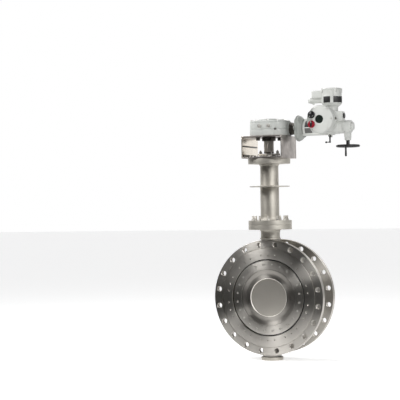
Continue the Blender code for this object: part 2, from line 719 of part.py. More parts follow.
def build_bracket(model, tools, plate_steel):
    """Welded bracket: base plate, two side plates and the plate under the gearbox."""
    half = BRACKET_SIZE / 2
    inner = half - BRACKET_WALL - GAP
    front = STEM_Y - half
    back = STEM_Y + half
    stem = (0.0, STEM_Y, 0.0)
    base = box("bracket_base_plate", (-inner, front, BRACKET_BOTTOM),
               (inner, back, BASE_PLATE_TOP), model)
    cut(base, cylinder("base plate bore", BASE_PLATE_BORE / 2, BRACKET_BOTTOM - 0.010,
                       BASE_PLATE_TOP + 0.010, Z_AXIS, stem, MEDIUM, tools))
    part(base, plate_steel)
    top = box("bracket_top_plate", (-inner, front, TOP_PLATE_BOTTOM), (inner, back, BRACKET_TOP),
              model)
    cut(top, cylinder("top plate bore", TOP_PLATE_BORE / 2, TOP_PLATE_BOTTOM - 0.010,
                      BRACKET_TOP + 0.010, Z_AXIS, stem, MEDIUM, tools))
    part(top, plate_steel)
    for side, name in ((-1, "bracket_side_left"), (1, "bracket_side_right")):
        near = side * (half - BRACKET_WALL)
        far = side * half
        plate = box(name, (min(near, far), front, BRACKET_BOTTOM),
                    (max(near, far), back, BRACKET_TOP), model, edge=0.002)
        part(plate, plate_steel)


def gearbox_outline(inset):
    left = -GEARBOX_LEFT + inset
    right = GEARBOX_RIGHT - inset
    front = -GEARBOX_FRONT + inset
    back = GEARBOX_BACK - inset
    small = GEARBOX_LEFT_CORNER - inset
    large = GEARBOX_RIGHT_CORNER - inset
    points = arc_points(left + small, front + small, small, 180, 270, 6)
    points += arc_points(right - large, front + large, large, 270, 360, 8)
    points += arc_points(right - small, back - small, small, 0, 90, 6)
    points += arc_points(left + small, back - small, small, 90, 180, 6)
    return points


def build_gearbox(model, tools, paint, dark_paint, dark_steel):
    """Housing with its cavity, cover with the indicator dome, stop bolts, neck and adapter."""
    stem = (0.0, STEM_Y, 0.0)
    worm_line = (0.0, WORM_Y, WORM_Z)
    housing = outline_solid("gearbox_housing", gearbox_outline(0.0), GEARBOX_BOTTOM, GEARBOX_TOP,
                            stem, model)
    cut(housing, cylinder("gearbox cavity", GEARBOX_CAVITY_RADIUS, GEARBOX_BOTTOM + GEARBOX_FLOOR,
                          GEARBOX_TOP + 0.010, Z_AXIS, stem, MEDIUM, tools))
    cut(housing, cylinder("gearbox shaft bore", SHAFT_TOP_RADIUS + RUNNING_GAP,
                          GEARBOX_BOTTOM - 0.010, GEARBOX_BOTTOM + GEARBOX_FLOOR + 0.010,
                          Z_AXIS, stem, MEDIUM, tools))
    worm_left = WORM_BORE_WALL - GEARBOX_LEFT
    cut(housing, cylinder("worm bore", WORM_BORE, worm_left, GEARBOX_RIGHT + 0.010, X_AXIS,
                          worm_line, COARSE, tools))
    stop_front = STEM_Y - GEARBOX_FRONT
    stop_places = [(-STOP_BOLT_X, 0.0), (STOP_BOLT_X, 0.0)]
    cut(housing, cylinder_set("stop bolt holes", STOP_BOLT_RADIUS + GAP, -0.005, 0.030,
                              stop_places, Y_AXIS, (0.0, stop_front, STOP_BOLT_Z), 10, tools))
    part(housing, paint)

    for side, name in ((-1, "open_stop_bolt"), (1, "closed_stop_bolt")):
        centre = (side * STOP_BOLT_X, stop_front, STOP_BOLT_Z)
        bolt = cylinder(name, STOP_BOLT_RADIUS, -STOP_BOLT_PROUD,
                        STOP_BOLT_LENGTH - STOP_BOLT_PROUD, Y_AXIS, centre, 10, model)
        lock_nut = cylinder(name + " nut", STOP_BOLT_RADIUS * 1.7, -0.009 - GAP, -GAP, Y_AXIS,
                            centre, 6, tools)
        join(bolt, lock_nut)
        part(bolt, dark_steel)

    cover = outline_solid("gearbox_cover", gearbox_outline(0.003), COVER_BOTTOM, COVER_TOP, stem,
                          model)
    join(cover, cylinder("indicator dome", DOME_RADIUS, COVER_TOP - 0.004, DOME_TOP,
                         Z_AXIS, stem, MEDIUM, tools, end_radius=DOME_RADIUS - 0.006))
    cut(cover, cylinder("cover shaft bore", SHAFT_TOP_RADIUS + RUNNING_GAP, COVER_BOTTOM - 0.010,
                        DOME_TOP + 0.010, Z_AXIS, stem, MEDIUM, tools))
    cut(cover, cylinder("indicator recess", INDICATOR_RADIUS + 0.012,
                        DOME_TOP - INDICATOR_RECESS, DOME_TOP + 0.010, Z_AXIS, stem, MEDIUM,
                        tools))
    part(cover, paint)

    neck = ring("input_neck", INPUT_NECK_RADIUS, WORM_SHAFT_RADIUS + RUNNING_GAP,
                GEARBOX_RIGHT + GAP, DRUM_START - GAP, X_AXIS, worm_line, MEDIUM, model)
    part(neck, dark_steel)
    drum_end = DRUM_END
    edge = 0.002
    profile = [
        (DRUM_RADIUS - edge, drum_end),
        (DRUM_RADIUS, drum_end - edge),
        (DRUM_RADIUS, DRUM_START + edge),
        (DRUM_RADIUS - edge, DRUM_START),
        (WORM_SHAFT_RADIUS + RUNNING_GAP, DRUM_START),
        (WORM_SHAFT_RADIUS + RUNNING_GAP, drum_end),
    ]
    drum = turned("input_adapter", profile, X_AXIS, worm_line, MEDIUM, model, closed=True)
    part(drum, dark_paint)


def build_actuator(model, tools, paint, glass):
    """Drive case, control cover and window, terminal housing, motor and handwheel column."""
    worm_line = (0.0, WORM_Y, WORM_Z)
    base_start = DRUM_END + GAP
    base_end = base_start + BASE_FLANGE_LENGTH
    case = cylinder("actuator_gearcase", BASE_FLANGE_RADIUS, base_start, base_end, X_AXIS,
                    worm_line, MEDIUM, model)
    join(case, cylinder("drive case", DRIVE_CASE_RADIUS, base_end - 0.010, DRIVE_CASE_END,
                        X_AXIS, worm_line, MEDIUM, tools))
    control_line = (CONTROL_X, 0.0, CONTROL_Z)
    join(case, cylinder("control barrel", CONTROL_RADIUS, CONTROL_CASE_FRONT, CONTROL_CASE_BACK,
                        Y_AXIS, control_line, MEDIUM, tools))
    terminal_line = (TERMINAL_X, WORM_Y, 0.0)
    join(case, cylinder("terminal neck", TERMINAL_NECK_RADIUS, CONTROL_Z + 0.010,
                        TERMINAL_BOTTOM - TERMINAL_FLARE_HEIGHT * 0.3, Z_AXIS, terminal_line,
                        MEDIUM, tools))
    join(case, cylinder("terminal flare", TERMINAL_NECK_RADIUS - 0.002,
                        TERMINAL_BOTTOM - TERMINAL_FLARE_HEIGHT, TERMINAL_BOTTOM - GAP, Z_AXIS,
                        terminal_line, MEDIUM, tools, end_radius=TERMINAL_RADIUS - 0.004))
    end_line = worm_line
    join(case, cylinder("drive end collar", DRIVE_END_COLLAR_RADIUS, CONTROL_X + 0.030,
                        DRIVE_END_COLLAR, X_AXIS, end_line, MEDIUM, tools))
    join(case, cylinder("drive end", DRIVE_END_RADIUS, DRIVE_END_COLLAR - 0.010, DRIVE_END_FACE,
                        X_AXIS, end_line, MEDIUM, tools))
    join(case, cylinder("drive end cap", END_CAP_RADIUS, DRIVE_END_FACE - 0.010,
                        DRIVE_END_FACE + END_CAP_LENGTH, X_AXIS, end_line, MEDIUM, tools,
                        end_radius=END_CAP_RADIUS - 0.003))
    handwheel_line = (HANDWHEEL_X, WORM_Y, 0.0)
    join(case, cylinder("handwheel seat", HANDWHEEL_COLUMN_RADIUS + 0.002, HANDWHEEL_COLUMN_TOP,
                        WORM_Z, Z_AXIS, handwheel_line, COARSE, tools))
    join(case, box("switch box", (CONTROL_X + 0.050, WORM_Y - 0.060, SWITCH_BOX_BOTTOM),
                   (SWITCH_BOX_END, WORM_Y + 0.010, SWITCH_BOX_TOP), tools, edge=0.008))
    lug_front = LEVER_FRONT + LEVER_HUB_LENGTH + GAP
    join(case, box("lever lug", (LEVER_X - 0.012, lug_front, LEVER_PIVOT_Z - 0.010),
                   (LEVER_X + 0.012, lug_front + 0.018, WORM_Z - 0.020), tools))
    join(case, cylinder("lever pin", LEVER_PIN_RADIUS, LEVER_FRONT - 0.003, lug_front + 0.006,
                        Y_AXIS, (LEVER_X, 0.0, LEVER_PIVOT_Z), 12, tools))
    cut(case, cylinder("drive bore", SLEEVE_RADIUS + RUNNING_GAP, base_start - 0.010,
                       base_start + SLEEVE_LENGTH + 0.002, X_AXIS, worm_line, COARSE, tools))
    for name, height in (("black selector hole", BLACK_SELECTOR_Z),
                         ("red selector hole", RED_SELECTOR_Z)):
        hole_end = CONTROL_CASE_FRONT + SELECTOR_STEM_DEPTH + 0.002
        cut(case, cylinder(name, SELECTOR_STEM_RADIUS + RUNNING_GAP, CONTROL_CASE_FRONT - 0.010,
                           hole_end, Y_AXIS, (SELECTOR_X, 0.0, height), 12, tools))
    cut(case, cylinder("spindle hole", HANDWHEEL_SPINDLE_RADIUS + RUNNING_GAP,
                       HANDWHEEL_COLUMN_TOP - 0.010, HANDWHEEL_COLUMN_TOP + HANDWHEEL_SPINDLE_DEPTH + 0.002,
                       Z_AXIS, handwheel_line, 12, tools))
    part(case, paint)

    cover_back = CONTROL_CASE_FRONT - GAP
    rim = CONTROL_RADIUS
    profile = [
        (0.0, cover_back),
        (rim, cover_back),
        (rim, CONTROL_COVER_FRONT + 0.008),
        (rim - 0.006, CONTROL_COVER_FRONT + 0.002),
        (WINDOW_RADIUS + 0.012, CONTROL_COVER_FRONT),
        (WINDOW_RADIUS + GAP, CONTROL_COVER_FRONT),
        (WINDOW_RADIUS + GAP, CONTROL_COVER_FRONT + WINDOW_DEPTH + GAP),
        (0.0, CONTROL_COVER_FRONT + WINDOW_DEPTH + GAP),
    ]
    cover = turned("control_cover", profile, Y_AXIS, control_line, MEDIUM, model)
    cut(cover, box("cover edge", (CONTROL_X - 0.150, CONTROL_COVER_FRONT - 0.020,
                                  CONTROL_Z - 0.150),
                   (CONTROL_COVER_EDGE, cover_back + 0.010, CONTROL_Z + 0.150), tools))
    part(cover, paint)
    window = cylinder("display_window", WINDOW_RADIUS, CONTROL_COVER_FRONT,
                      CONTROL_COVER_FRONT + WINDOW_DEPTH, Y_AXIS, control_line, MEDIUM, model)
    part(window, glass)

    housing = cylinder("terminal_housing", TERMINAL_RADIUS, TERMINAL_BOTTOM, TERMINAL_TOP, Z_AXIS,
                       terminal_line, MEDIUM, model)
    join(housing, box("side box", (SIDE_BOX_START, WORM_Y - SIDE_BOX_DEPTH / 2, SIDE_BOX_BOTTOM),
                      (TERMINAL_X - 0.030, WORM_Y + SIDE_BOX_DEPTH / 2, SIDE_BOX_TOP), tools,
                      edge=0.006))
    entry_line = (0.0, WORM_Y, ENTRY_BOSS_Z)
    join(housing, cylinder("cable entry boss", ENTRY_BOSS_RADIUS, ENTRY_BOSS_START,
                           TERMINAL_X - 0.030, X_AXIS, entry_line, COARSE, tools))
    cut(housing, cylinder("terminal space", TERMINAL_RADIUS - TERMINAL_WALL,
                          TERMINAL_BOTTOM + TERMINAL_WALL, TERMINAL_TOP + 0.010, Z_AXIS,
                          terminal_line, MEDIUM, tools))
    part(housing, paint)
    lid_bottom = TERMINAL_TOP + GAP
    lid = cylinder("terminal_lid", TERMINAL_RADIUS + 0.002, lid_bottom,
                   lid_bottom + TERMINAL_LID_THICKNESS, Z_AXIS, terminal_line, MEDIUM, model)
    bevel(lid, 0.003)
    part(lid, paint)
    plug_end = ENTRY_BOSS_START - GAP
    plug = cylinder("conduit_plug", ENTRY_BOSS_RADIUS - 0.002, plug_end - ENTRY_PLUG_LENGTH,
                    plug_end, X_AXIS, entry_line, 6, model)
    bevel(plug, 0.002)
    part(plug, paint)

    motor = cylinder("motor_housing", MOTOR_RADIUS, CONTROL_CASE_BACK + GAP,
                     CONTROL_CASE_BACK + GAP + MOTOR_LENGTH, Y_AXIS, control_line, MEDIUM, model)
    bevel(motor, 0.008)
    part(motor, paint)
    column = ring("handwheel_column", HANDWHEEL_COLUMN_RADIUS,
                  HANDWHEEL_SPINDLE_RADIUS + RUNNING_GAP, HANDWHEEL_COLUMN_BOTTOM,
                  HANDWHEEL_COLUMN_TOP - GAP, Z_AXIS, handwheel_line, COARSE, model)
    part(column, paint)


def pivot(name, place, collection):
    """An empty on a joint's axis, which carries what turns there."""
    empty = bpy.data.objects.new(name, None)
    collection.objects.link(empty)
    empty.location = place
    bpy.context.view_layer.update()
    return empty


def carry(empty, item):
    """Parent a piece to its pivot without moving it."""
    bpy.context.view_layer.update()
    item.parent = empty
    item.matrix_parent_inverse = empty.matrix_world.inverted()


def build_disc_group(model, tools, steel, dark_steel, graphite, satin):
    """Everything that turns with the shaft: disc, seal, ring, pins, coupling and quadrant."""
    turning = pivot("disc axis", (0.0, STEM_Y, 0.0), model)
    origin = (0, 0, 0)
    stem = (0.0, STEM_Y, 0.0)
    spigot = RETAINER_BORE - GAP
    back_radius = DISC_RADIUS - 0.010
    profile = [
        (0.0, DISC_BACK),
        (back_radius, DISC_BACK),
        (DISC_RADIUS, DISC_BACK - 0.006),
        (DISC_RADIUS, DISC_LAND),
        (spigot, DISC_LAND),
        (spigot, RETAINER_FRONT),
        (spigot - 0.006, RETAINER_FRONT),
        (DISH_FLANK_RADIUS, DISH_FLANK_DEPTH),
        (DISH_FLOOR_RADIUS, DISH_FLOOR_DEPTH),
        (0.0, DISH_FLOOR_DEPTH),
    ]
    disc = turned("disc", profile, Y_AXIS, origin, FINE, model)
    hub_cut_plane = DISC_LAND + 0.004
    for side, label in ((-1, "lower"), (1, "upper")):
        low = min(side * HUB_INNER_END, side * HUB_OUTER_END)
        high = max(side * HUB_INNER_END, side * HUB_OUTER_END)
        hub = cylinder(label + " hub", HUB_RADIUS, low, high, Z_AXIS, stem, MEDIUM, tools)
        cut(hub, box(label + " hub front", (-0.100, STEM_Y - 0.100, low - 0.010),
                     (0.100, hub_cut_plane, high + 0.010), tools))
        join(disc, hub)
    cut(disc, cylinder("disc shaft bore", SHAFT_RADIUS + GAP, -0.300, 0.300, Z_AXIS, stem, MEDIUM,
                       tools))
    pin_places = [(0.0, -PIN_HEIGHT), (0.0, PIN_HEIGHT)]
    pin_front = STEM_Y - SHAFT_RADIUS * 0.4
    pin_back = STEM_Y + HUB_RADIUS + 0.003
    cut(disc, cylinder_set("disc pin holes", PIN_RADIUS + GAP, pin_front - GAP,
                           pin_back + 0.020, pin_places, Y_AXIS, origin, 12, tools))
    part(disc, steel)
    carry(turning, disc)

    seal_profile = [
        (swing_radius(SEAL_BACK, 0.0), SEAL_BACK),
        (swing_radius(SEAL_FRONT, 0.0), SEAL_FRONT),
        (RETAINER_BORE, SEAL_FRONT),
        (RETAINER_BORE, SEAL_BACK),
    ]
    seal = turned("seal_stack", seal_profile, Y_AXIS, origin, FINE, model, closed=True)
    part(seal, graphite)
    carry(turning, seal)
    retainer_profile = [
        (RETAINER_RADIUS, RETAINER_BACK),
        (RETAINER_RADIUS, RETAINER_FRONT + 0.002),
        (RETAINER_RADIUS - 0.002, RETAINER_FRONT),
        (RETAINER_BORE, RETAINER_FRONT),
        (RETAINER_BORE, RETAINER_BACK),
    ]
    retainer = turned("seal_retaining_ring", retainer_profile, Y_AXIS, origin, FINE, model,
                      closed=True)
    part(retainer, steel)
    carry(turning, retainer)

    shaft_profile = [
        (0.0, SHAFT_TOP),
        (SHAFT_TOP_RADIUS, SHAFT_TOP),
        (SHAFT_TOP_RADIUS, SHAFT_STEP),
        (SHAFT_RADIUS, SHAFT_STEP),
        (SHAFT_RADIUS, SHAFT_BOTTOM),
        (0.0, SHAFT_BOTTOM),
    ]
    shaft = turned("shaft", shaft_profile, Z_AXIS, stem, MEDIUM, model)
    cut(shaft, cylinder_set("shaft pin holes", PIN_RADIUS + GAP, pin_front - GAP,
                            pin_back + 0.020, pin_places, Y_AXIS, origin, 12, tools))
    part(shaft, satin)
    carry(turning, shaft)
    for side, name in ((-1, "disc_pin_lower"), (1, "disc_pin_upper")):
        pin = cylinder(name, PIN_RADIUS, pin_front, pin_back, Y_AXIS,
                       (0.0, 0.0, side * PIN_HEIGHT), 12, model)
        part(pin, satin)
        carry(turning, pin)

    collar_top = GEARBOX_BOTTOM - 0.0015
    collar_bottom = collar_top - COUPLING_COLLAR_HEIGHT
    coupling_profile = [
        (COUPLING_COLLAR_RADIUS, collar_top),
        (COUPLING_COLLAR_RADIUS, collar_bottom + 0.003),
        (COUPLING_COLLAR_RADIUS - 0.003, collar_bottom),
        (COUPLING_RADIUS, collar_bottom),
        (COUPLING_RADIUS, COUPLING_BOTTOM),
        (SHAFT_TOP_RADIUS + GAP, COUPLING_BOTTOM),
        (SHAFT_TOP_RADIUS + GAP, collar_top),
    ]
    coupling = turned("drive_coupling", coupling_profile, Z_AXIS, stem, MEDIUM, model, closed=True)
    part(coupling, dark_steel)
    carry(turning, coupling)

    quadrant_bottom = WORM_Z - QUADRANT_THICKNESS / 2
    quadrant_top = WORM_Z + QUADRANT_THICKNESS / 2
    sector = arc_points(0.0, 0.0, QUADRANT_RADIUS, 20, 160, 14)
    hub_arc = arc_points(0.0, 0.0, QUADRANT_HUB_RADIUS, 170, 370, 14)
    quadrant = outline_solid("worm_quadrant", sector + hub_arc, quadrant_bottom, quadrant_top,
                             stem, model)
    cut(quadrant, cylinder("quadrant bore", SHAFT_TOP_RADIUS + GAP, quadrant_bottom - 0.010,
                           quadrant_top + 0.010, Z_AXIS, stem, MEDIUM, tools))
    part(quadrant, dark_steel)
    carry(turning, quadrant)

    pointer_bottom = max(SHAFT_TOP, DOME_TOP - INDICATOR_RECESS) + GAP
    pointer_top = DOME_TOP + 0.003
    pointer = cylinder("indicator_pointer", INDICATOR_RADIUS, pointer_bottom, pointer_top, Z_AXIS,
                       stem, COARSE, model)
    join(pointer, box("pointer tongue", (-0.005, STEM_Y - INDICATOR_RADIUS - 0.010, pointer_bottom),
                      (0.005, STEM_Y, pointer_top - 0.003), tools))
    part(pointer, dark_steel)
    carry(turning, pointer)


def build_worm(model, tools, dark_steel):
    """Worm shaft, and the actuator's drive sleeve keyed to its end."""
    line = (0.0, WORM_Y, WORM_Z)
    turning = pivot("worm axis", line, model)
    thread_ends = WORM_HALF_LENGTH + 0.006
    profile = [
        (0.0, WORM_SHAFT_END),
        (WORM_SHAFT_RADIUS, WORM_SHAFT_END),
        (WORM_SHAFT_RADIUS, thread_ends),
        (WORM_RADIUS, WORM_HALF_LENGTH),
        (WORM_RADIUS, -WORM_HALF_LENGTH),
        (WORM_SHAFT_RADIUS, -thread_ends),
        (WORM_SHAFT_RADIUS, -GEARBOX_LEFT + 0.032),
        (0.0, -GEARBOX_LEFT + 0.032),
    ]
    worm = turned("worm_shaft", profile, X_AXIS, line, COARSE, model)
    part(worm, dark_steel)
    carry(turning, worm)
    start = DRUM_END + 2 * GAP
    sleeve = ring("drive_sleeve", SLEEVE_RADIUS, WORM_SHAFT_RADIUS + GAP, start,
                  start + SLEEVE_LENGTH, X_AXIS, line, COARSE, model)
    part(sleeve, dark_steel)
    carry(turning, sleeve)


def build_handwheel(model, tools, black):
    """Handwheel with hub, spindle and spokes, and the free-turning grip on its pin."""
    turning = pivot("handwheel axis", (HANDWHEEL_X, WORM_Y, HANDWHEEL_HEIGHT), model)
    centre = (HANDWHEEL_X, WORM_Y, 0.0)
    hub_top = HANDWHEEL_COLUMN_BOTTOM - GAP
    spindle_top = HANDWHEEL_COLUMN_TOP + HANDWHEEL_SPINDLE_DEPTH
    hub_profile = [
        (0.0, spindle_top),
        (HANDWHEEL_SPINDLE_RADIUS, spindle_top),
        (HANDWHEEL_SPINDLE_RADIUS, hub_top),
        (HANDWHEEL_HUB_RADIUS, hub_top),
        (HANDWHEEL_HUB_RADIUS, HANDWHEEL_HEIGHT + 0.010),
        (HANDWHEEL_HUB_RADIUS + 0.006, HANDWHEEL_HEIGHT + 0.006),
        (HANDWHEEL_HUB_RADIUS + 0.006, HANDWHEEL_HEIGHT - 0.009),
        (0.0, HANDWHEEL_HEIGHT - 0.009),
    ]
    wheel = turned("handwheel", hub_profile, Z_AXIS, centre, 12, model)
    rim_mesh = bpy.data.meshes.new("rim")
    rim = link_object("rim", rim_mesh, tools)
    builder = bmesh.new()
    section = bmesh.ops.create_circle(builder, radius=HANDWHEEL_RIM, segments=8)
    turn_upright = Matrix.Rotation(math.radians(90), 4, "X")
    bmesh.ops.transform(builder, matrix=Matrix.Translation((HANDWHEEL_RADIUS, 0, 0)) @ turn_upright,
                        verts=section["verts"])
    builder.to_mesh(rim_mesh)
    builder.free()
    rim.location = (HANDWHEEL_X, WORM_Y, HANDWHEEL_HEIGHT)
    screw = rim.modifiers.new("turn", "SCREW")
    screw.steps = MEDIUM
    screw.render_steps = MEDIUM
    screw.use_merge_vertices = True
    screw.merge_threshold = 0.00001
    join(wheel, rim)
    for index in range(SPOKE_COUNT):
        angle = SPINNER_ANGLE + index * math.tau / SPOKE_COUNT
        turn = Matrix.Rotation(angle, 4, "Z") @ X_AXIS
        spoke = cylinder("spoke %d" % index, SPOKE_RADIUS, HANDWHEEL_HUB_RADIUS - 0.002,
                         HANDWHEEL_RADIUS, turn, (HANDWHEEL_X, WORM_Y, HANDWHEEL_HEIGHT), 8, tools)
        join(wheel, spoke)
    pin_x = HANDWHEEL_X + HANDWHEEL_RADIUS * math.cos(SPINNER_ANGLE)
    pin_y = WORM_Y + HANDWHEEL_RADIUS * math.sin(SPINNER_ANGLE)
    spinner_top = HANDWHEEL_HEIGHT - HANDWHEEL_RIM - GAP
    spinner_bottom = spinner_top - SPINNER_LENGTH
    join(wheel, cylinder("spinner pin", SPINNER_PIN_RADIUS, spinner_bottom + 0.006,
                         HANDWHEEL_HEIGHT, Z_AXIS, (pin_x, pin_y, 0.0), 8, tools))
    part(wheel, black)
    carry(turning, wheel)

    spinning = pivot("spinner axis", (pin_x, pin_y, spinner_top), model)
    blind_hole = SPINNER_PIN_RADIUS + 0.0006
    grip_profile = [
        (0.0, spinner_bottom + 0.005),
        (blind_hole, spinner_bottom + 0.005),
        (blind_hole, spinner_top),
        (SPINNER_RADIUS - 0.0015, spinner_top),
        (SPINNER_RADIUS, spinner_top - 0.004),
        (SPINNER_RADIUS, spinner_bottom + 0.003),
        (SPINNER_RADIUS - 0.003, spinner_bottom),
        (0.0, spinner_bottom),
    ]
    spinner = turned("spinner_handle", grip_profile, Z_AXIS, (pin_x, pin_y, 0.0), 12, model)
    part(spinner, black)
    carry(spinning, spinner)


def build_lever(model, tools, black):
    """Changeover lever: hub on its pin, a hanging arm and a side grip with a ball."""
    place = (LEVER_X, LEVER_FRONT, LEVER_PIVOT_Z)
    turning = pivot("lever axis", place, model)
    lever = cylinder("declutch_lever", LEVER_HUB_RADIUS, LEVER_FRONT,
                     LEVER_FRONT + LEVER_HUB_LENGTH, Y_AXIS, (LEVER_X, 0.0, LEVER_PIVOT_Z), 14,
                     model)
    middle = LEVER_FRONT + LEVER_HUB_LENGTH / 2
    arm_end = LEVER_PIVOT_Z - LEVER_REACH
    join(lever, cylinder("lever arm", LEVER_STEM_RADIUS, arm_end, LEVER_PIVOT_Z - 0.005, Z_AXIS,
                         (LEVER_X, middle, 0.0), 8, tools))
    grip_height = arm_end + LEVER_STEM_RADIUS
    join(lever, cylinder("lever grip", LEVER_STEM_RADIUS * 0.6, -LEVER_GRIP_LENGTH, 0.0, X_AXIS,
                         (LEVER_X, middle, grip_height), 8, tools))
    join(lever, sphere("lever ball", LEVER_STEM_RADIUS * 1.2,
                       (LEVER_X - LEVER_GRIP_LENGTH, middle, grip_height), tools))
    cut(lever, cylinder("lever bore", LEVER_PIN_RADIUS + 0.0005, LEVER_FRONT - 0.010,
                        LEVER_FRONT + LEVER_HUB_LENGTH + 0.010, Y_AXIS,
                        (LEVER_X, 0.0, LEVER_PIVOT_Z), 12, tools))
    part(lever, black)
    carry(turning, lever)


def build_selectors(model, tools, black, red):
    """Two rotary selector knobs, with their stems in the control case."""
    for name, height, material in (("command_selector", BLACK_SELECTOR_Z, black),
                                   ("mode_selector", RED_SELECTOR_Z, red)):
        back = CONTROL_CASE_FRONT - SELECTOR_PROUD
        front = back - SELECTOR_THICKNESS
        turning = pivot(name + " axis", (SELECTOR_X, back, height), model)
        profile = [
            (0.0, CONTROL_CASE_FRONT + SELECTOR_STEM_DEPTH),
            (SELECTOR_STEM_RADIUS, CONTROL_CASE_FRONT + SELECTOR_STEM_DEPTH),
            (SELECTOR_STEM_RADIUS, back),
            (SELECTOR_RADIUS, back),
            (SELECTOR_RADIUS, front + 0.010),
            (SELECTOR_RADIUS - 0.003, front + 0.008),
            (0.0, front + 0.008),
        ]
        knob = turned(name, profile, Y_AXIS, (SELECTOR_X, 0.0, height), COARSE, model)
        join(knob, box(name + " grip", (SELECTOR_X - 0.006, front, height - SELECTOR_RADIUS + 0.003),
                       (SELECTOR_X + 0.006, front + 0.012, height + SELECTOR_RADIUS - 0.003),
                       tools, edge=0.002))
        part(knob, material)
        carry(turning, knob)


def main():
    clear_scene()
    model = make_collection("cryogenic butterfly valve")
    tools = make_collection("cutters and joined shapes")

    steel = make_material("machined stainless", (0.52, 0.51, 0.49), 0.32, 1.0)
    satin = make_material("satin stainless", (0.56, 0.54, 0.50), 0.36, 1.0)
    plate_steel = make_material("plate stainless", (0.48, 0.45, 0.43), 0.45, 1.0)
    dark_steel = make_material("dark steel", (0.06, 0.055, 0.05), 0.45, 0.8)
    bronze = make_material("bearing bronze", (0.35, 0.24, 0.12), 0.45, 1.0)
    graphite = make_material("graphite", (0.04, 0.04, 0.042), 0.6, 0.2)
    paint = make_material("light grey paint", (0.62, 0.63, 0.60), 0.42, 0.0)
    dark_paint = make_material("mid grey paint", (0.36, 0.38, 0.36), 0.45, 0.0)
    black = make_material("black plastic", (0.015, 0.015, 0.016), 0.4, 0.0)
    red = make_material("red plastic", (0.42, 0.02, 0.04), 0.35, 0.0)
    glass = make_material("dark window", (0.008, 0.014, 0.012), 0.08, 0.0)

    build_valve_body(model, tools, steel)
    build_seat_and_bearings(model, dark_steel, bronze)
    build_bottom_cover(model, steel, graphite)
    build_bonnet(model, tools, satin, graphite)
    build_stuffing_box(model, tools, satin, graphite)
    build_bracket(model, tools, plate_steel)
    build_gearbox(model, tools, paint, dark_paint, dark_steel)
    build_actuator(model, tools, paint, glass)
    build_disc_group(model, tools, steel, dark_steel, graphite, satin)
    build_worm(model, tools, dark_steel)
    build_handwheel(model, tools, black)
    build_lever(model, tools, black)
    build_selectors(model, tools, black, red)
    bpy.context.view_layer.update()


main()
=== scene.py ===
"""Looks of a cryogenic butterfly valve: finer pieces, finishes, floor, light and camera.

Units are metres.  The bore runs along +Y, +Z is up and the actuator sits on the +X side.
A profile is a list of (radius, height) points; a third number in a point says how far its corner
is cut back to round it.
"""
import json
import math

import bmesh
import bpy
from mathutils import Matrix, Vector


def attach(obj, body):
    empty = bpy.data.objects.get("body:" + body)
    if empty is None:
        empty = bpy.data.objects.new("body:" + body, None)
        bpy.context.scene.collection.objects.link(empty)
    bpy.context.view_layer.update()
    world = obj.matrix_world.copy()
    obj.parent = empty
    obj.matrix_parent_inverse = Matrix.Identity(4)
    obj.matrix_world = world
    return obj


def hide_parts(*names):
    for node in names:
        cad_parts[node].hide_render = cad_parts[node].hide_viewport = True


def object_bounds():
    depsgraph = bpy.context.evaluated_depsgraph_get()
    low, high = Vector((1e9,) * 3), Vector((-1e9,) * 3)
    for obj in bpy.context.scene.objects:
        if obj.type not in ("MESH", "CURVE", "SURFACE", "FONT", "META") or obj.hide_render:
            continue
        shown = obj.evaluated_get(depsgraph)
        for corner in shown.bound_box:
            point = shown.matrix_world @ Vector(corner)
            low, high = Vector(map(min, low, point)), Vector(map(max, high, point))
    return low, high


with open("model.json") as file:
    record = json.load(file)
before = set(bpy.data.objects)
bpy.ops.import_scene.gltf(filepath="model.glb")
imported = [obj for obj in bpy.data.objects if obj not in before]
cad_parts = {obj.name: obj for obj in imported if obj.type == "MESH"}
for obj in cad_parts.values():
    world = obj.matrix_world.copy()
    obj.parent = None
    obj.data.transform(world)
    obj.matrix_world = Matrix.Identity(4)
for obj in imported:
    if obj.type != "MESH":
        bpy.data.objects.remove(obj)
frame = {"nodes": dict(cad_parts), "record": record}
cad_low, cad_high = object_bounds()


# Ways that a piece can point
Z_AXIS = Matrix.Identity(4)
X_AXIS = Matrix.Rotation(math.radians(90), 4, "Y")
Y_AXIS = Matrix.Rotation(math.radians(-90), 4, "X")
TO_LEFT = Matrix.Rotation(math.radians(-90), 4, "Y")
TO_FRONT = Matrix.Rotation(math.radians(90), 4, "X")
TO_BELOW = Matrix.Rotation(math.pi, 4, "X")


def at(place, axis=Z_AXIS):
    """Where a piece stands and which way it points."""
    return Matrix.Translation(place) @ axis


# Lines that the pieces are set out from
STEM_Y = 0.068
WORM_Y = 0.143
WORM_Z = 1.1886
CONTROL_X = 0.397
CONTROL_Z = 1.239
TERMINAL_X = 0.447
HANDWHEEL_X = 0.5595
STEM = (0.0, STEM_Y, 0.0)
BORE = (0.0, 0.0, 0.0)
ON_BORE = at(BORE, Y_AXIS)
ON_STEM = at(STEM)
ON_WORM = at((0.0, WORM_Y, WORM_Z), X_AXIS)
ON_CONTROL = at((CONTROL_X, 0.0, CONTROL_Z), Y_AXIS)
ON_TERMINAL = at((TERMINAL_X, WORM_Y, 0.0))
ON_WHEEL = at((HANDWHEEL_X, WORM_Y, 0.0))

# Valve body
FACE_TO_FACE = 0.267
FLANGE_RADIUS = 0.4065
FLANGE_BACK = 0.042
RAISED_RADIUS = 0.346
RAISED_HEIGHT = 0.002
BOLT_CIRCLE_RADIUS = 0.37465
BOLT_COUNT = 20
BOLT_HOLE_RADIUS = 0.0175
BARREL_RADIUS = 0.327
CAVITY_RADIUS = 0.2785
FRONT_BORE = 0.272
REAR_BORE = 0.286
TAPPED_CIRCLE = 0.299
TAPPED_GROUPS = 10
TAPPED_RADIUS = 0.006
TAPPED_FIRST = math.radians(17)
TAPPED_SPREAD = math.radians(10)
KEEPER_SCREW_CIRCLE = 0.234
KEEPER_SCREW_COUNT = 24

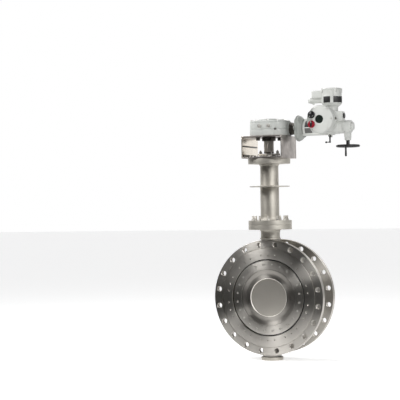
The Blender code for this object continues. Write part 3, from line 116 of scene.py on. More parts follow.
# Bonnet heights and radii
NECK_FLANGE_BOTTOM = 0.478
NECK_FLANGE_TOP = 0.5095
BONNET_BOTTOM = 0.5125
BONNET_FLANGE_TOP = 0.543
BONNET_RADIUS = 0.153
STUD_CIRCLE_RADIUS = 0.123
STUD_COUNT = 12
TUBE_RADIUS = 0.0645
DRIP_HEIGHT = 0.779
DRIP_TOP = DRIP_HEIGHT + 0.0055
TOP_FLANGE_BOTTOM = 0.942
TOP_FLANGE_TOP = 0.979
TOP_FLANGE_RADIUS = 0.149

# Bracket and gearbox
BRACKET_BOTTOM = 0.9793
BRACKET_TOP = 1.1363
BRACKET_HALF = 0.15
BASE_PLATE_TOP = 0.9893
TOP_PLATE_BOTTOM = 1.1283
SLEEVE_RIBS = 14
GEARBOX_BOTTOM = 1.1366
GEARBOX_SEAM = 1.1826
GEARBOX_TOP = 1.2326
COVER_TOP = 1.2459
DOME_TOP = 1.2579
STOP_Z = 1.2066

# Actuator
CONTROL_RADIUS = 0.0975
SELECTOR_X = 0.342
COMMAND_Z = 1.271
MODE_Z = 1.205
ENTRY_Z = 1.379
TERMINAL_RADIUS = 0.0705
FIN_COUNT = 8
HANDWHEEL_Z = 1.0525
HANDWHEEL_REACH = 0.074
SPINNER_ANGLE = math.radians(-84.5)
LEVER_X = 0.439
LEVER_Y = 0.113
LEVER_Z = 1.126
LEVER_BALL_RADIUS = 0.0072

DISC_BODY = "disc_assembly"
SHARP_ANGLE = math.radians(32)
TINY = 0.000002


# Shapes

def link(name, data):
    item = bpy.data.objects.new(name, data)
    bpy.context.scene.collection.objects.link(item)
    return item


def from_builder(name, builder, place=Z_AXIS):
    """Make an object of a bmesh, with its place in the mesh and its faces outwards."""
    builder.transform(place)
    bmesh.ops.recalc_face_normals(builder, faces=builder.faces)
    if builder.calc_volume(signed=True) < 0.0:
        bmesh.ops.reverse_faces(builder, faces=builder.faces)
    return plain_object(name, builder)


def plain_object(name, builder):
    mesh = bpy.data.meshes.new(name)
    builder.to_mesh(mesh)
    builder.free()
    return link(name, mesh)


def softened(profile, closed, steps=3):
    """Round the corners of a profile, cutting a corner back less where its sides are short."""
    points = []
    count = len(profile)
    backs = [corner[2] if len(corner) > 2 else 0.0 for corner in profile]
    for index, corner in enumerate(profile):
        here = Vector(corner[:2])
        back = backs[index]
        at_end = not closed and index in (0, count - 1)
        if back <= 0.0 or at_end:
            points.append(here)
            continue
        for other in (index - 1, (index + 1) % count):
            length = (Vector(profile[other][:2]) - here).length
            wanted = backs[index] + backs[other]
            if wanted > length:
                back = min(back, backs[index] * 0.98 * length / wanted)
        before = Vector(profile[index - 1][:2])
        after = Vector(profile[(index + 1) % count][:2])
        start = here + (before - here).normalized() * back
        end = here + (after - here).normalized() * back
        for step in range(steps + 1):
            share = step / steps
            first = start.lerp(here, share)
            second = here.lerp(end, share)
            points.append(first.lerp(second, share))
    return points


def spun(builder, geometry, segments):
    """Turn points and edges once round Z and close the seam."""
    bmesh.ops.spin(builder, geom=geometry, cent=(0, 0, 0), axis=(0, 0, 1), angle=math.tau,
                   steps=segments, use_merge=True)
    bmesh.ops.remove_doubles(builder, verts=builder.verts, dist=TINY)


def turned(name, profile, place=Z_AXIS, segments=96):
    """Turn a profile round the axis of a place; one that keeps off the axis is closed."""
    builder = bmesh.new()
    closed = min(profile[0][0], profile[-1][0]) > TINY
    points = softened(profile, closed)
    corners = [builder.verts.new((point.x, 0.0, point.y)) for point in points]
    edges = [builder.edges.new(pair) for pair in zip(corners, corners[1:])]
    if closed:
        edges.append(builder.edges.new((corners[-1], corners[0])))
    spun(builder, corners + edges, segments)
    return from_builder(name, builder, place)


def ring(name, outer, inner, start, end, place, edge=0.001, segments=96):
    profile = [(outer, end, edge), (outer, start, edge), (inner, start, edge), (inner, end, edge)]
    return turned(name, profile, place, segments)


def rod(name, radius, start, end, place, edge=0.001, segments=32):
    profile = [(0.0, end), (radius, end, edge), (radius, start, edge), (0.0, start)]
    return turned(name, profile, place, segments)


def soften_edges(builder, edges, width, steps):
    bmesh.ops.bevel(builder, geom=edges, offset=width, segments=steps, profile=0.5, affect="EDGES")


def block(name, low, high, edge=0.002, steps=3):
    """A box between two corners, with rounded edges."""
    builder = bmesh.new()
    bmesh.ops.create_cube(builder, size=1.0)
    size = Vector(high) - Vector(low)
    bmesh.ops.scale(builder, verts=builder.verts, vec=size)
    bmesh.ops.translate(builder, verts=builder.verts, vec=(Vector(high) + Vector(low)) / 2)
    soften_edges(builder, builder.edges[:], edge, steps)
    return from_builder(name, builder)


def slab(name, outline, bottom, top, edge=0.002, steps=3):
    """A flat outline made solid between two heights, with rounded upper and lower edges."""
    builder = bmesh.new()
    corners = [builder.verts.new((x, y, bottom)) for x, y in outline]
    base = builder.faces.new(corners)
    raised = bmesh.ops.extrude_face_region(builder, geom=[base])
    upper = [item for item in raised["geom"] if isinstance(item, bmesh.types.BMVert)]
    bmesh.ops.translate(builder, verts=upper, vec=(0, 0, top - bottom))
    rims = [item for item in builder.edges
            if abs(item.verts[0].co.z - item.verts[1].co.z) < 0.0001]
    if edge > 0.0:
        soften_edges(builder, rims, edge, steps)
    return from_builder(name, builder)


def polar(radius, degrees):
    angle = math.radians(degrees)
    return radius * math.cos(angle), radius * math.sin(angle)


def arc(centre_x, centre_y, radius, start, end, steps):
    points = []
    for index in range(steps + 1):
        x, y = polar(radius, start + (end - start) * index / steps)
        points.append((centre_x + x, centre_y + y))
    return points


def bow(x, y, inner, outer, first, last, steps):
    """The outline of a strip bent round a centre."""
    return arc(x, y, inner, first, last, steps) + arc(x, y, outer, last, first, steps)


def merged(name, pieces):
    """One object of several, without cutting them."""
    builder = bmesh.new()
    for piece in pieces:
        builder.from_mesh(piece.data)
        bpy.data.objects.remove(piece, do_unlink=True)
    return plain_object(name, builder)


def repeated(name, source, places):
    """Copies of one piece as one object: a place is (x, y, z) and may end with a turn about Z."""
    builder = bmesh.new()
    for place in places:
        turn = Matrix.Rotation(place[3], 4, "Z") if len(place) > 3 else Z_AXIS
        copy = source.data.copy()
        copy.transform(at(place[:3], turn))
        builder.from_mesh(copy)
        bpy.data.meshes.remove(copy)
    bpy.data.objects.remove(source, do_unlink=True)
    return plain_object(name, builder)


def on_circle(radius, count, first):
    """Places round a circle as (across, up, angle)."""
    places = []
    for index in range(count):
        angle = first + index * math.tau / count
        places.append((radius * math.cos(angle), radius * math.sin(angle), angle))
    return places


def round_bore(radius, count, first):
    return [(x, 0, z) for x, z, _ in on_circle(radius, count, first)]


def round_stem(radius, count, first):
    """Places round the stem that face away from it."""
    return [(x, STEM_Y + y, 0, angle) for x, y, angle in on_circle(radius, count, first)]


def round_worm(x, radius, first):
    return [(x, WORM_Y + y, WORM_Z + z) for y, z, _ in on_circle(radius, 4, first)]


def settle(item):
    """Apply the modifiers of a piece."""
    bpy.context.view_layer.update()
    graph = bpy.context.evaluated_depsgraph_get()
    mesh = bpy.data.meshes.new_from_object(item.evaluated_get(graph))
    item.modifiers.clear()
    item.data = mesh


def cut(item, tool):
    modifier = item.modifiers.new("cut", "BOOLEAN")
    modifier.operation = "DIFFERENCE"
    modifier.solver = "EXACT"
    modifier.object = tool
    settle(item)
    bpy.data.objects.remove(tool, do_unlink=True)


def cast(name, pieces, voxel, rounds=5):
    """Blend overlapping pieces into one casting with soft corners."""
    item = merged(name, pieces)
    remesh = item.modifiers.new("blend", "REMESH")
    remesh.mode = "VOXEL"
    remesh.voxel_size = voxel
    relax = item.modifiers.new("relax", "SMOOTH")
    relax.factor = 0.5
    relax.iterations = rounds
    settle(item)
    item.data.shade_smooth()
    item["soft"] = True
    return item


def hexagon(name, radius, height, place):
    """A hexagon head or nut that stands on its place, with a turned chamfer."""
    chamfer = height * 0.16
    return turned(name, [
        (0.0, height), (radius * 0.84, height), (radius, height - chamfer),
        (radius, chamfer * 0.6), (radius * 0.9, 0.0), (0.0, 0.0),
    ], place, 6)


def cap_screw(radius, height, place=Z_AXIS, segments=20):
    """A round screw head with a socket."""
    return turned("head", [
        (0.0, height * 0.35), (radius * 0.46, height * 0.35), (radius * 0.52, height),
        (radius, height, radius * 0.22), (radius, 0.0), (0.0, 0.0),
    ], place, segments)


def threaded(radius, start, end, pitch, place=Z_AXIS, segments=24):
    """A rod whose surface runs in ridges, as a thread does."""
    depth = pitch * 0.35
    turns = max(2, int((end - start) / pitch))
    profile = [(0.0, end), (radius - depth * 1.6, end)]
    for index in range(turns):
        top = end - (end - start) * index / turns
        profile += [(radius - depth, top - 0.1 * pitch), (radius, top - 0.5 * pitch)]
    profile += [(radius - depth, start), (0.0, start)]
    return turned("thread", profile, place, segments)


# Materials

def feed(tree, node, sockets):
    """Give the named or numbered inputs of a node a value, or a link from another node."""
    for key, value in sockets.items():
        if isinstance(value, bpy.types.NodeSocket):
            tree.links.new(value, node.inputs[key])
        else:
            node.inputs[key].default_value = value


def add(tree, kind, sockets=None, **settings):
    node = tree.nodes.new(kind)
    for key, value in settings.items():
        setattr(node, key, value)
    feed(tree, node, sockets or {})
    return node


def start_material(name):
    material = bpy.data.materials.new(name)
    material.use_nodes = True
    return material, material.node_tree, material.node_tree.nodes["Principled BSDF"]


def object_coords(tree):
    return add(tree, "ShaderNodeTexCoord").outputs["Object"]


def maths(tree, operation, *values):
    return add(tree, "ShaderNodeMath", dict(enumerate(values)), operation=operation).outputs[0]


def vectors(tree, operation, *values):
    return add(tree, "ShaderNodeVectorMath", dict(enumerate(values)), operation=operation).outputs


def noise(tree, vector, scale, detail=3.0, roughness=0.5, dimensions="3D"):
    sockets = {"Scale": scale, "Detail": detail, "Roughness": roughness,
               "W" if dimensions == "1D" else "Vector": vector}
    return add(tree, "ShaderNodeTexNoise", sockets, noise_dimensions=dimensions).outputs["Fac"]


def ranged(tree, value, low, high, to_low, to_high):
    sockets = {"Value": value, "From Min": low, "From Max": high, "To Min": to_low,
               "To Max": to_high}
    return add(tree, "ShaderNodeMapRange", sockets).outputs["Result"]


def blend_colour(tree, factor, first, second):
    """Mix two colours, each a tuple or a link; 6, 7 and 2 are the node's colour sockets."""
    sockets = {"Factor": factor}
    for place, colour in ((6, first), (7, second)):
        sockets[place] = (*colour, 1.0) if isinstance(colour, tuple) else colour
    return add(tree, "ShaderNodeMix", sockets, data_type="RGBA").outputs[2]


def bump(tree, shader, height, strength, distance):
    sockets = {"Strength": strength, "Distance": distance, "Height": height}
    node = add(tree, "ShaderNodeBump", sockets)
    feed(tree, shader, {"Normal": node.outputs["Normal"]})


def worn_edges(tree, amount):
    """The amount on outer edges and 0 elsewhere."""
    geometry = add(tree, "ShaderNodeNewGeometry")
    return ranged(tree, geometry.outputs["Pointiness"], 0.53, 0.6, 0.0, amount)


# Keeps the two directions that lie across an axis
ACROSS_AXIS = {"X": (0, 1, 1), "Y": (1, 0, 1), "Z": (1, 1, 0)}


def turned_metal(name, base, second, low, high, centre, axis, scale=900.0, grain=0.25,
                 anisotropic=0.0):
    """Lathe-turned metal: fine rings round an axis, uneven polish and faint cloudy stains."""
    material, tree, shader = start_material(name)
    coords = object_coords(tree)
    shift = vectors(tree, "SUBTRACT", coords, centre)[0]
    across = vectors(tree, "MULTIPLY", shift, ACROSS_AXIS[axis])[0]
    reach = vectors(tree, "LENGTH", across)["Value"]
    parts = add(tree, "ShaderNodeSeparateXYZ", {0: shift})
    line = maths(tree, "ADD", reach, parts.outputs[axis])
    rings = noise(tree, line, scale, 4.0, 0.6, "1D")
    bands = noise(tree, line, scale / 14, 2.0, 0.5, "1D")
    clouds = noise(tree, coords, 9.0, 4.0, 0.6)
    mixed = maths(tree, "MULTIPLY_ADD", bands, 0.45, ranged(tree, clouds, 0.3, 0.7, 0.0, 0.55))
    feed(tree, shader, {
        "Base Color": blend_colour(tree, mixed, base, second),
        "Roughness": ranged(tree, rings, 0.3, 0.7, low, high),
        "Metallic": 1.0,
    })
    bump(tree, shader, rings, grain, 0.0002)
    if anisotropic > 0.0:
        tangent = add(tree, "ShaderNodeTangent", direction_type="RADIAL", axis=axis)
        feed(tree, shader, {
            "Anisotropic": anisotropic,
            "Anisotropic Rotation": 0.25,
            "Tangent": tangent.outputs[0],
        })
    return material


def grained(name, base, second, low, high, metallic, scale, grain, depth=0.0003, clouds=7.0,
            edge=None, coat=0.0):
    """Paint, plate, casting or plastic: fine grain in bump and roughness, cloudy colour, worn edges."""
    material, tree, shader = start_material(name)
    coords = object_coords(tree)
    stretch = add(tree, "ShaderNodeMapping", {
        "Vector": coords,
        "Scale": scale if isinstance(scale, tuple) else (scale, scale, scale),
    })
    fine = noise(tree, stretch.outputs[0], 8.0, 3.0, 0.6)
    wide = noise(tree, coords, clouds, 5.0, 0.6)
    both = maths(tree, "MULTIPLY_ADD", fine, 0.3, ranged(tree, wide, 0.35, 0.68, 0.0, 0.7))
    colour = blend_colour(tree, both, base, second)
    if edge:
        colour = blend_colour(tree, worn_edges(tree, 0.7), colour, edge)
    feed(tree, shader, {
        "Base Color": colour,
        "Roughness": ranged(tree, fine, 0.3, 0.7, low, high),
        "Metallic": metallic,
        "Specular IOR Level": 0.4,
    })
    if coat > 0.0:
        feed(tree, shader, {"Coat Weight": coat, "Coat Roughness": 0.12})
    bump(tree, shader, fine, grain, depth)
    return material


# Each has two colours, the range of its roughness, and then its grain
flange_steel = turned_metal(
    "flange steel", (0.63, 0.602, 0.556), (0.52, 0.497, 0.462), 0.31, 0.41, BORE, "Y", 900.0, 0.06,
    0.97)
disc_steel = turned_metal(
    "disc steel", (0.51, 0.483, 0.446), (0.405, 0.384, 0.352), 0.31, 0.43, BORE, "Y", 500.0, 0.06,
    0.9)
stem_steel = turned_metal(
    "satin steel", (0.565, 0.54, 0.485), (0.48, 0.455, 0.41), 0.56, 0.66, STEM, "Z", 700.0, 0.08, 0.3)
bronze = turned_metal(
    "bronze", (0.46, 0.33, 0.16), (0.36, 0.25, 0.12), 0.3, 0.45, STEM, "Z")
face_steel = grained(
    "disc face steel", (0.57, 0.54, 0.49), (0.51, 0.485, 0.44), 0.44, 0.52, 1.0, 120, 0.05, 0.0002,
    5.0)
# Brighter copy of the plate steel for the inner face of the left side plate: painted light
lit_plate_steel = grained(
    "lit plate steel", (0.9, 0.83, 0.73), (0.79, 0.73, 0.64), 0.18, 0.28, 1.0, (14, 14, 200), 0.08,
    0.0002, 14.0)
cast_steel = grained(
    "cast steel", (0.42, 0.405, 0.38), (0.33, 0.32, 0.3), 0.4, 0.55, 1.0, 90, 0.35, 0.0006)
plate_steel = grained(
    "plate steel", (0.56, 0.52, 0.49), (0.24, 0.215, 0.2), 0.28, 0.5, 1.0, (8, 8, 1.2), 0.1,
    0.0002, 13.0)
bolt_steel = grained(
    "bolt steel", (0.8, 0.78, 0.74), (0.64, 0.62, 0.58), 0.28, 0.42, 0.75, 120, 0.2, 0.0002, 40.0)
rib_steel = grained(
    "rib steel", (0.66, 0.63, 0.59), (0.46, 0.44, 0.41), 0.3, 0.44, 0.8, (120, 120, 30), 0.15,
    0.0002, 25.0)
# Near-white copy of the disc steel for the dish rim: a painted highlight round the edge of the dish
rim_highlight_steel = grained(
    "rim highlight steel", (0.92, 0.89, 0.83), (0.84, 0.81, 0.75), 0.3, 0.42, 0.45, 120, 0.08, 0.0002, 12.0)
dark_steel = grained(
    "dark steel", (0.085, 0.08, 0.07), (0.135, 0.126, 0.112), 0.3, 0.5, 0.85, 120, 0.25, 0.0003,
    22.0, (0.22, 0.21, 0.19))
graphite = grained(
    "graphite", (0.03, 0.03, 0.032), (0.055, 0.055, 0.058), 0.5, 0.7, 0.2, (90, 90, 300), 0.4,
    0.0003, 30.0)
light_paint = grained(
    "light grey paint", (0.66, 0.67, 0.64), (0.6, 0.61, 0.58), 0.3, 0.42, 0.0, 110, 0.1, 0.0003,
    6.0, (0.74, 0.75, 0.72), 0.15)
gear_paint = grained(
    "gearbox paint", (0.57, 0.585, 0.56), (0.49, 0.505, 0.48), 0.34, 0.46, 0.0, 100, 0.14, 0.0004,
    7.0, (0.64, 0.66, 0.63), 0.1)
drum_paint = grained(
    "mid grey paint", (0.37, 0.385, 0.36), (0.3, 0.315, 0.295), 0.34, 0.46, 0.0, 100, 0.14, 0.0004,
    9.0, (0.44, 0.46, 0.43), 0.1)
black_plastic = grained(
    "black plastic", (0.01, 0.01, 0.011), (0.018, 0.018, 0.019), 0.3, 0.44, 0.0, 160, 0.15, 0.0003,
    30.0, (0.05, 0.05, 0.05), 0.05)
red_plastic = grained(
    "red plastic", (0.34, 0.01, 0.026), (0.25, 0.007, 0.018), 0.22, 0.34, 0.0, 160, 0.1, 0.0002,
    30.0, (0.46, 0.04, 0.06), 0.3)
wheel_black = grained(
    "wheel black", (0.01, 0.01, 0.01), (0.018, 0.018, 0.018), 0.42, 0.58, 0.0, 140, 0.25, 0.0004,
    26.0, (0.03, 0.03, 0.03))
# Dark grey for the lower wrap on the drive case: partly a label, partly painted shade
plate_shade_grey = grained(
    "plate shade grey", (0.115, 0.115, 0.11), (0.155, 0.155, 0.15), 0.42, 0.55, 0.0, 140, 0.2, 0.0003,
    26.0, (0.1, 0.1, 0.1))
window_glass = grained(
    "dark window", (0.012, 0.018, 0.015), (0.018, 0.025, 0.021), 0.04, 0.08, 0.0, 40, 0.01, 0.0001,
    12.0, None, 1.0)

# The materials of each slot; the first is what the solids of the slot get
SLOT_MATERIALS = {
    "stainless_machined": (flange_steel, disc_steel, face_steel, rim_highlight_steel, cast_steel),
    "stainless_satin": (stem_steel, bolt_steel),
    "stainless_plate": (plate_steel, lit_plate_steel),
    "dark_steel": (dark_steel, rib_steel),
    "bearing_bronze": (bronze,),
    "graphite": (graphite,),
    "paint_light_grey": (light_paint, gear_paint),
    "paint_mid_grey": (drum_paint,),
    "plastic_black": (black_plastic, wheel_black, plate_shade_grey),
    "plastic_red": (red_plastic,),
    "window_dark": (window_glass,),
}
node_slots = {row["node"]: row["material_slot"] for row in frame["record"]["subparts"]}
for node_name, node_object in frame["nodes"].items():
    node_object.data.materials.clear()
    node_object.data.materials.append(SLOT_MATERIALS[node_slots[node_name]][0])


def dress(item, material, replaces=(), body="valve_frame", slot=None):
    """Give a finished piece its shading, material and body, and hide the parts that it replaces; the
    slot is not used.
    """
    if "soft" not in item:
        item.data.shade_smooth()
        item.data.set_sharp_from_angle(angle=SHARP_ANGLE)
    item.data.materials.clear()
    item.data.materials.append(material)
    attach(item, body)
    if replaces:
        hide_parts(*replaces)


def lathe(name, profile, place, segments, material, replaces=(), **rest):
    """A turned piece, dressed."""
    dress(turned(name, profile, place, segments), material, replaces, **rest)


def fasten(name, source, places, material=bolt_steel, replaces=(), **rest):
    """A screw, nut or set of them at all its places, dressed."""
    dress(repeated(name, source, places), material, replaces, **rest)


# Valve body

def flange_holes(start, end):
    """Cutters for the bolt holes of one flange, with a small chamfer at both faces."""
    chamfer = 0.0015
    proud = 0.003
    wide = BOLT_HOLE_RADIUS + chamfer + proud
    source = turned("hole", [
        (0.0, end + proud), (wide, end + proud), (BOLT_HOLE_RADIUS, end - chamfer),
        (BOLT_HOLE_RADIUS, start + chamfer), (wide, start - proud), (0.0, start - proud),
    ], ON_BORE, 40)
    first = math.pi / 2 + math.pi / BOLT_COUNT
    return repeated("holes", source, round_bore(BOLT_CIRCLE_RADIUS, BOLT_COUNT, first))


def tapped_holes():
    """Cutters for the tapped holes, which stand in threes."""
    source = turned("tapped hole", [
        (0.0, 0.01), (TAPPED_RADIUS * 0.86, 0.0085), (TAPPED_RADIUS * 0.86, 0.001),
        (TAPPED_RADIUS * 1.4, -0.0012), (0.0, -0.0012),
    ], ON_BORE, 16)
    places = []
    for group in range(TAPPED_GROUPS):
        middle = TAPPED_FIRST + group * math.tau / TAPPED_GROUPS
        for step in (-1, 0, 1):
            angle = middle + step * TAPPED_SPREAD
            places.append((TAPPED_CIRCLE * math.cos(angle), 0, TAPPED_CIRCLE * math.sin(angle)))
    return repeated("tapped holes", source, places)


def build_body():
    front = turned("front_flange", [
        (CAVITY_RADIUS, FLANGE_BACK), (CAVITY_RADIUS, 0.035), (0.274, 0.031), (0.274, 0.0137),
        (FRONT_BORE, 0.0137), (FRONT_BORE, 0.0, 0.0012), (RAISED_RADIUS, 0.0, 0.001),
        (RAISED_RADIUS, 0.0045, 0.0006), (RAISED_RADIUS + 0.0035, 0.0045, 0.0006),
        (RAISED_RADIUS + 0.0045, RAISED_HEIGHT), (FLANGE_RADIUS, RAISED_HEIGHT, 0.003),
        (FLANGE_RADIUS, FLANGE_BACK, 0.003),
    ], ON_BORE, 192)
    cut(front, flange_holes(RAISED_HEIGHT, FLANGE_BACK))
    cut(front, tapped_holes())
    dress(front, flange_steel, ["valve_body"])

    back_start = FACE_TO_FACE - FLANGE_BACK
    back_plane = FACE_TO_FACE - RAISED_HEIGHT
    rear = turned("rear_flange", [
        (REAR_BORE, FACE_TO_FACE, 0.0012), (RAISED_RADIUS, FACE_TO_FACE, 0.0008),
        (RAISED_RADIUS, back_plane), (FLANGE_RADIUS, back_plane, 0.003),
        (FLANGE_RADIUS, back_start, 0.003), (REAR_BORE, back_start),
    ], ON_BORE, 192)
    cut(rear, flange_holes(back_start, back_plane))
    dress(rear, flange_steel)

    fillet_radius = BARREL_RADIUS + 0.009
    barrel = turned("barrel", [
        (fillet_radius, FLANGE_BACK - 0.004), (fillet_radius, FLANGE_BACK + 0.001),
        (BARREL_RADIUS, FLANGE_BACK + 0.012), (BARREL_RADIUS, back_start - 0.012),
        (fillet_radius, back_start - 0.001), (fillet_radius, back_start + 0.004),
        (REAR_BORE + 0.004, back_start + 0.004), (REAR_BORE + 0.002, 0.178),
        (CAVITY_RADIUS + 0.001, 0.143), (CAVITY_RADIUS + 0.001, FLANGE_BACK - 0.004),
    ], ON_BORE, 128)
    neck = ring("neck core", 0.0655, 0.044, 0.3, 0.41, ON_STEM)
    flare = turned("neck flare", [
        (0.0655, 0.345), (0.072, 0.33), (0.08, 0.318), (0.08, 0.3), (0.05, 0.3),
        (0.05, 0.345),
    ], ON_STEM, 64)
    trunnion = ring("trunnion core", 0.066, 0.044, -0.4165, -0.3, ON_STEM)
    foot_flare = turned("trunnion flare", [
        (0.08, -0.3), (0.08, -0.318), (0.072, -0.33), (0.066, -0.345), (0.05, -0.345),
        (0.05, -0.3),
    ], ON_STEM, 64)
    casting = cast("body_casting", [barrel, neck, flare, trunnion, foot_flare], 0.0034)
    cut(casting, rod("front clearance", FLANGE_RADIUS - 0.001, -0.1, 0.012, ON_BORE, 0.0, 96))
    dress(casting, cast_steel)

    lathe("neck_flange", [
        (0.044, 0.4), (0.044, NECK_FLANGE_TOP, 0.001), (BONNET_RADIUS, NECK_FLANGE_TOP, 0.002),
        (BONNET_RADIUS, NECK_FLANGE_BOTTOM, 0.002), (0.077, NECK_FLANGE_BOTTOM, 0.004),
        (0.0676, 0.464, 0.006), (0.0676, 0.4215, 0.002), (0.0725, 0.4205, 0.0015),
        (0.0725, 0.4085, 0.0015), (0.064, 0.4075), (0.064, 0.4),
    ], ON_STEM, 128, stem_steel, slot="stainless_machined")
    lathe("seat_ring", [
        (0.2737, 0.0307), (0.2737, 0.014), (0.2687, 0.014, 0.0008), (0.2662, 0.0195),
        (0.2685, 0.0307),
    ], ON_BORE, 144, dark_steel, ["body_seat_ring"])
    lathe("trunnion_cover", [
        (0.0, -0.4045), (0.0405, -0.4045), (0.0405, -0.4191), (0.078, -0.4191, 0.0015),
        (0.078, -0.4411, 0.004), (0.05, -0.4411, 0.001), (0.048, -0.4396, 0.001),
        (0.0, -0.4396),
    ], ON_STEM, 72, stem_steel, ["bottom_cover"], slot="stainless_machined")


def build_bonnet():
    lathe("bonnet", [
        (0.0443, TOP_FLANGE_TOP, 0.001), (TOP_FLANGE_RADIUS, TOP_FLANGE_TOP, 0.0018),
        (TOP_FLANGE_RADIUS, TOP_FLANGE_BOTTOM, 0.0018), (0.073, TOP_FLANGE_BOTTOM, 0.0025),
        (0.0715, 0.936, 0.002), (0.066, 0.929, 0.002), (TUBE_RADIUS, 0.924, 0.001),
        (TUBE_RADIUS, DRIP_TOP), (0.0662, DRIP_HEIGHT, 0.0), (0.0662, 0.564, 0.002),
        (0.07, 0.552, 0.003), (0.076, BONNET_FLANGE_TOP, 0.003),
        (BONNET_RADIUS, BONNET_FLANGE_TOP, 0.0018), (BONNET_RADIUS, BONNET_BOTTOM, 0.0018),
        (0.039, BONNET_BOTTOM), (0.039, BONNET_FLANGE_TOP), (0.0555, 0.563), (0.0555, 0.869),
        (0.0277, 0.872), (0.0277, 0.879), (0.0443, 0.879),
    ], ON_STEM, 128, stem_steel, ["bonnet_extension"])
    lathe("drip_tray", [
        (0.1425, DRIP_TOP, 0.0012), (0.1425, DRIP_HEIGHT, 0.0012), (0.07, DRIP_HEIGHT),
        (0.0648, DRIP_HEIGHT - 0.004), (0.0648, DRIP_HEIGHT + 0.01),
        (0.069, DRIP_HEIGHT + 0.0065, 0.001), (0.072, DRIP_TOP, 0.001),
    ], ON_STEM, 128, stem_steel, ["drip_plate"])

    top = BONNET_FLANGE_TOP
    stud = merged("stud set", [
        hexagon("nut", 0.0098, 0.0115, at((0, 0, top + 0.0003))),
        ring("washer", 0.0112, 0.0068, top + 0.0002, top + 0.002, Z_AXIS, 0.0004, 32),
        threaded(0.0064, top + 0.01, 0.576, 0.0018),
    ])
    fasten("bonnet_studs", stud, round_stem(STUD_CIRCLE_RADIUS, STUD_COUNT, math.pi / STUD_COUNT),
           replaces=["bonnet_stud_%02d" % (index + 1) for index in range(STUD_COUNT)])
    seam = ring("gasket_ring", BONNET_RADIUS - 0.001, 0.09, NECK_FLANGE_TOP + 0.0001,
                BONNET_BOTTOM - 0.0001, ON_STEM, 0.0003, 128)
    dress(seam, stem_steel)


def build_gland():
    stud_x = 0.064
    end_radius = 0.083 - stud_x
    width = 0.04
    outline = arc(-stud_x, STEM_Y, end_radius, 110, 250, 10)
    outline += arc(0.0, STEM_Y, width, 236, 304, 10)
    outline += arc(stud_x, STEM_Y, end_radius, -70, 70, 10)
    outline += arc(0.0, STEM_Y, width, 56, 124, 10)
    bar = slab("gland_bar", outline, 0.9993, 1.0133, 0.0018)
    cut(bar, rod("gland bore", 0.0275, 0.99, 1.03, ON_STEM, 0.0, 48))
    dress(bar, bolt_steel, ["gland_flange"])
    stud = merged("gland stud", [
        threaded(0.006, 0.9896, 1.038, 0.0018),
        hexagon("nut", 0.0112, 0.01, at((0, 0, 1.0138))),
        hexagon("lock nut", 0.0112, 0.006, at((0, 0, 1.0242), Matrix.Rotation(0.4, 4, "Z"))),
    ])
    fasten("gland_studs", stud, [(-stud_x, STEM_Y, 0), (stud_x, STEM_Y, 0)],
           replaces=["gland_stud_left", "gland_stud_right"])
    dress(rod("gland_pin", 0.0042, 0.9893, 1.027, at((0.034, 0.026, 0)), 0.0015, 20), bolt_steel)
    lathe("stem_top", [
        (0.0, 1.244), (0.026, 1.244, 0.001), (0.026, 0.868), (0.035, 0.868),
        (0.035, -0.404, 0.001), (0.0, -0.404),
    ], ON_STEM, 48, stem_steel, ["shaft"], body=DISC_BODY)


def build_bracket():
    front = STEM_Y - BRACKET_HALF
    back = STEM_Y + BRACKET_HALF
    inner = BRACKET_HALF - 0.0073
    for name, low, high, bore, node in (
            ("base_plate", BRACKET_BOTTOM, BASE_PLATE_TOP, 0.05, "bracket_base_plate"),
            ("top_plate", TOP_PLATE_BOTTOM, BRACKET_TOP, 0.053, "bracket_top_plate")):
        plate = block(name, (-inner, front, low), (inner, back, high), 0.0015)
        cut(plate, rod("plate bore", bore, low - 0.01, high + 0.01, ON_STEM, 0.0, 48))
        dress(plate, plate_steel, [node])
    # The left side plate takes the brighter lit plate steel, which paints light on its inner face
    for side, name, node, finish in (
            (-1, "side_plate_left", "bracket_side_left", lit_plate_steel),
            (1, "side_plate_right", "bracket_side_right", plate_steel)):
        near, far = sorted((side * (BRACKET_HALF - 0.007), side * BRACKET_HALF))
        plate = block(name, (near, front, BRACKET_BOTTOM), (far, back, BRACKET_TOP), 0.0024, 4)
        dress(plate, finish, [node])
        beads = []
        for level in (BASE_PLATE_TOP + 0.0008, TOP_PLATE_BOTTOM - 0.0008):
            bead = rod("bead", 0.0028, front + 0.004, back - 0.004,
                       at((side * (inner - 0.001), 0, level), Y_AXIS), 0.001, 12)
            for vertex in bead.data.vertices:
                ripple = math.sin(vertex.co.y * 1500.0) * 0.00035
                vertex.co.z += ripple
                vertex.co.x += ripple * side
            beads.append(bead)
        dress(merged(name + "_welds", beads), bolt_steel, slot="stainless_plate")

    strip = block("bracket_strip", (-0.143, front + 0.004, 1.061), (-0.136, back - 0.03, 1.071),
                  0.001, 2)
    dress(strip, dark_steel)
    screw = hexagon("screw", 0.008, 0.009, at((-0.1428, 0, BASE_PLATE_TOP + 0.011), X_AXIS))
    fasten("side_screws", screw, [(0, y, 0) for y in (-0.055, -0.01, 0.035, 0.1, 0.15)],
           dark_steel)
    bolt = merged("gearbox bolt", [
        hexagon("head", 0.015, 0.02, at((0, 0, TOP_PLATE_BOTTOM - 0.002), TO_BELOW)),
        ring("washer", 0.018, 0.009, TOP_PLATE_BOTTOM - 0.0024, TOP_PLATE_BOTTOM, Z_AXIS, 0.0005,
             32),
    ])
    fasten("gearbox_bolts", bolt, round_stem(0.0825, 4, math.radians(45)), dark_steel)
    places = round_stem(0.115, 8, math.radians(22.5))
    fasten("base_screws", cap_screw(0.009, 0.009, at((0, 0, BASE_PLATE_TOP)), 24),
           [place[:3] for place in places])


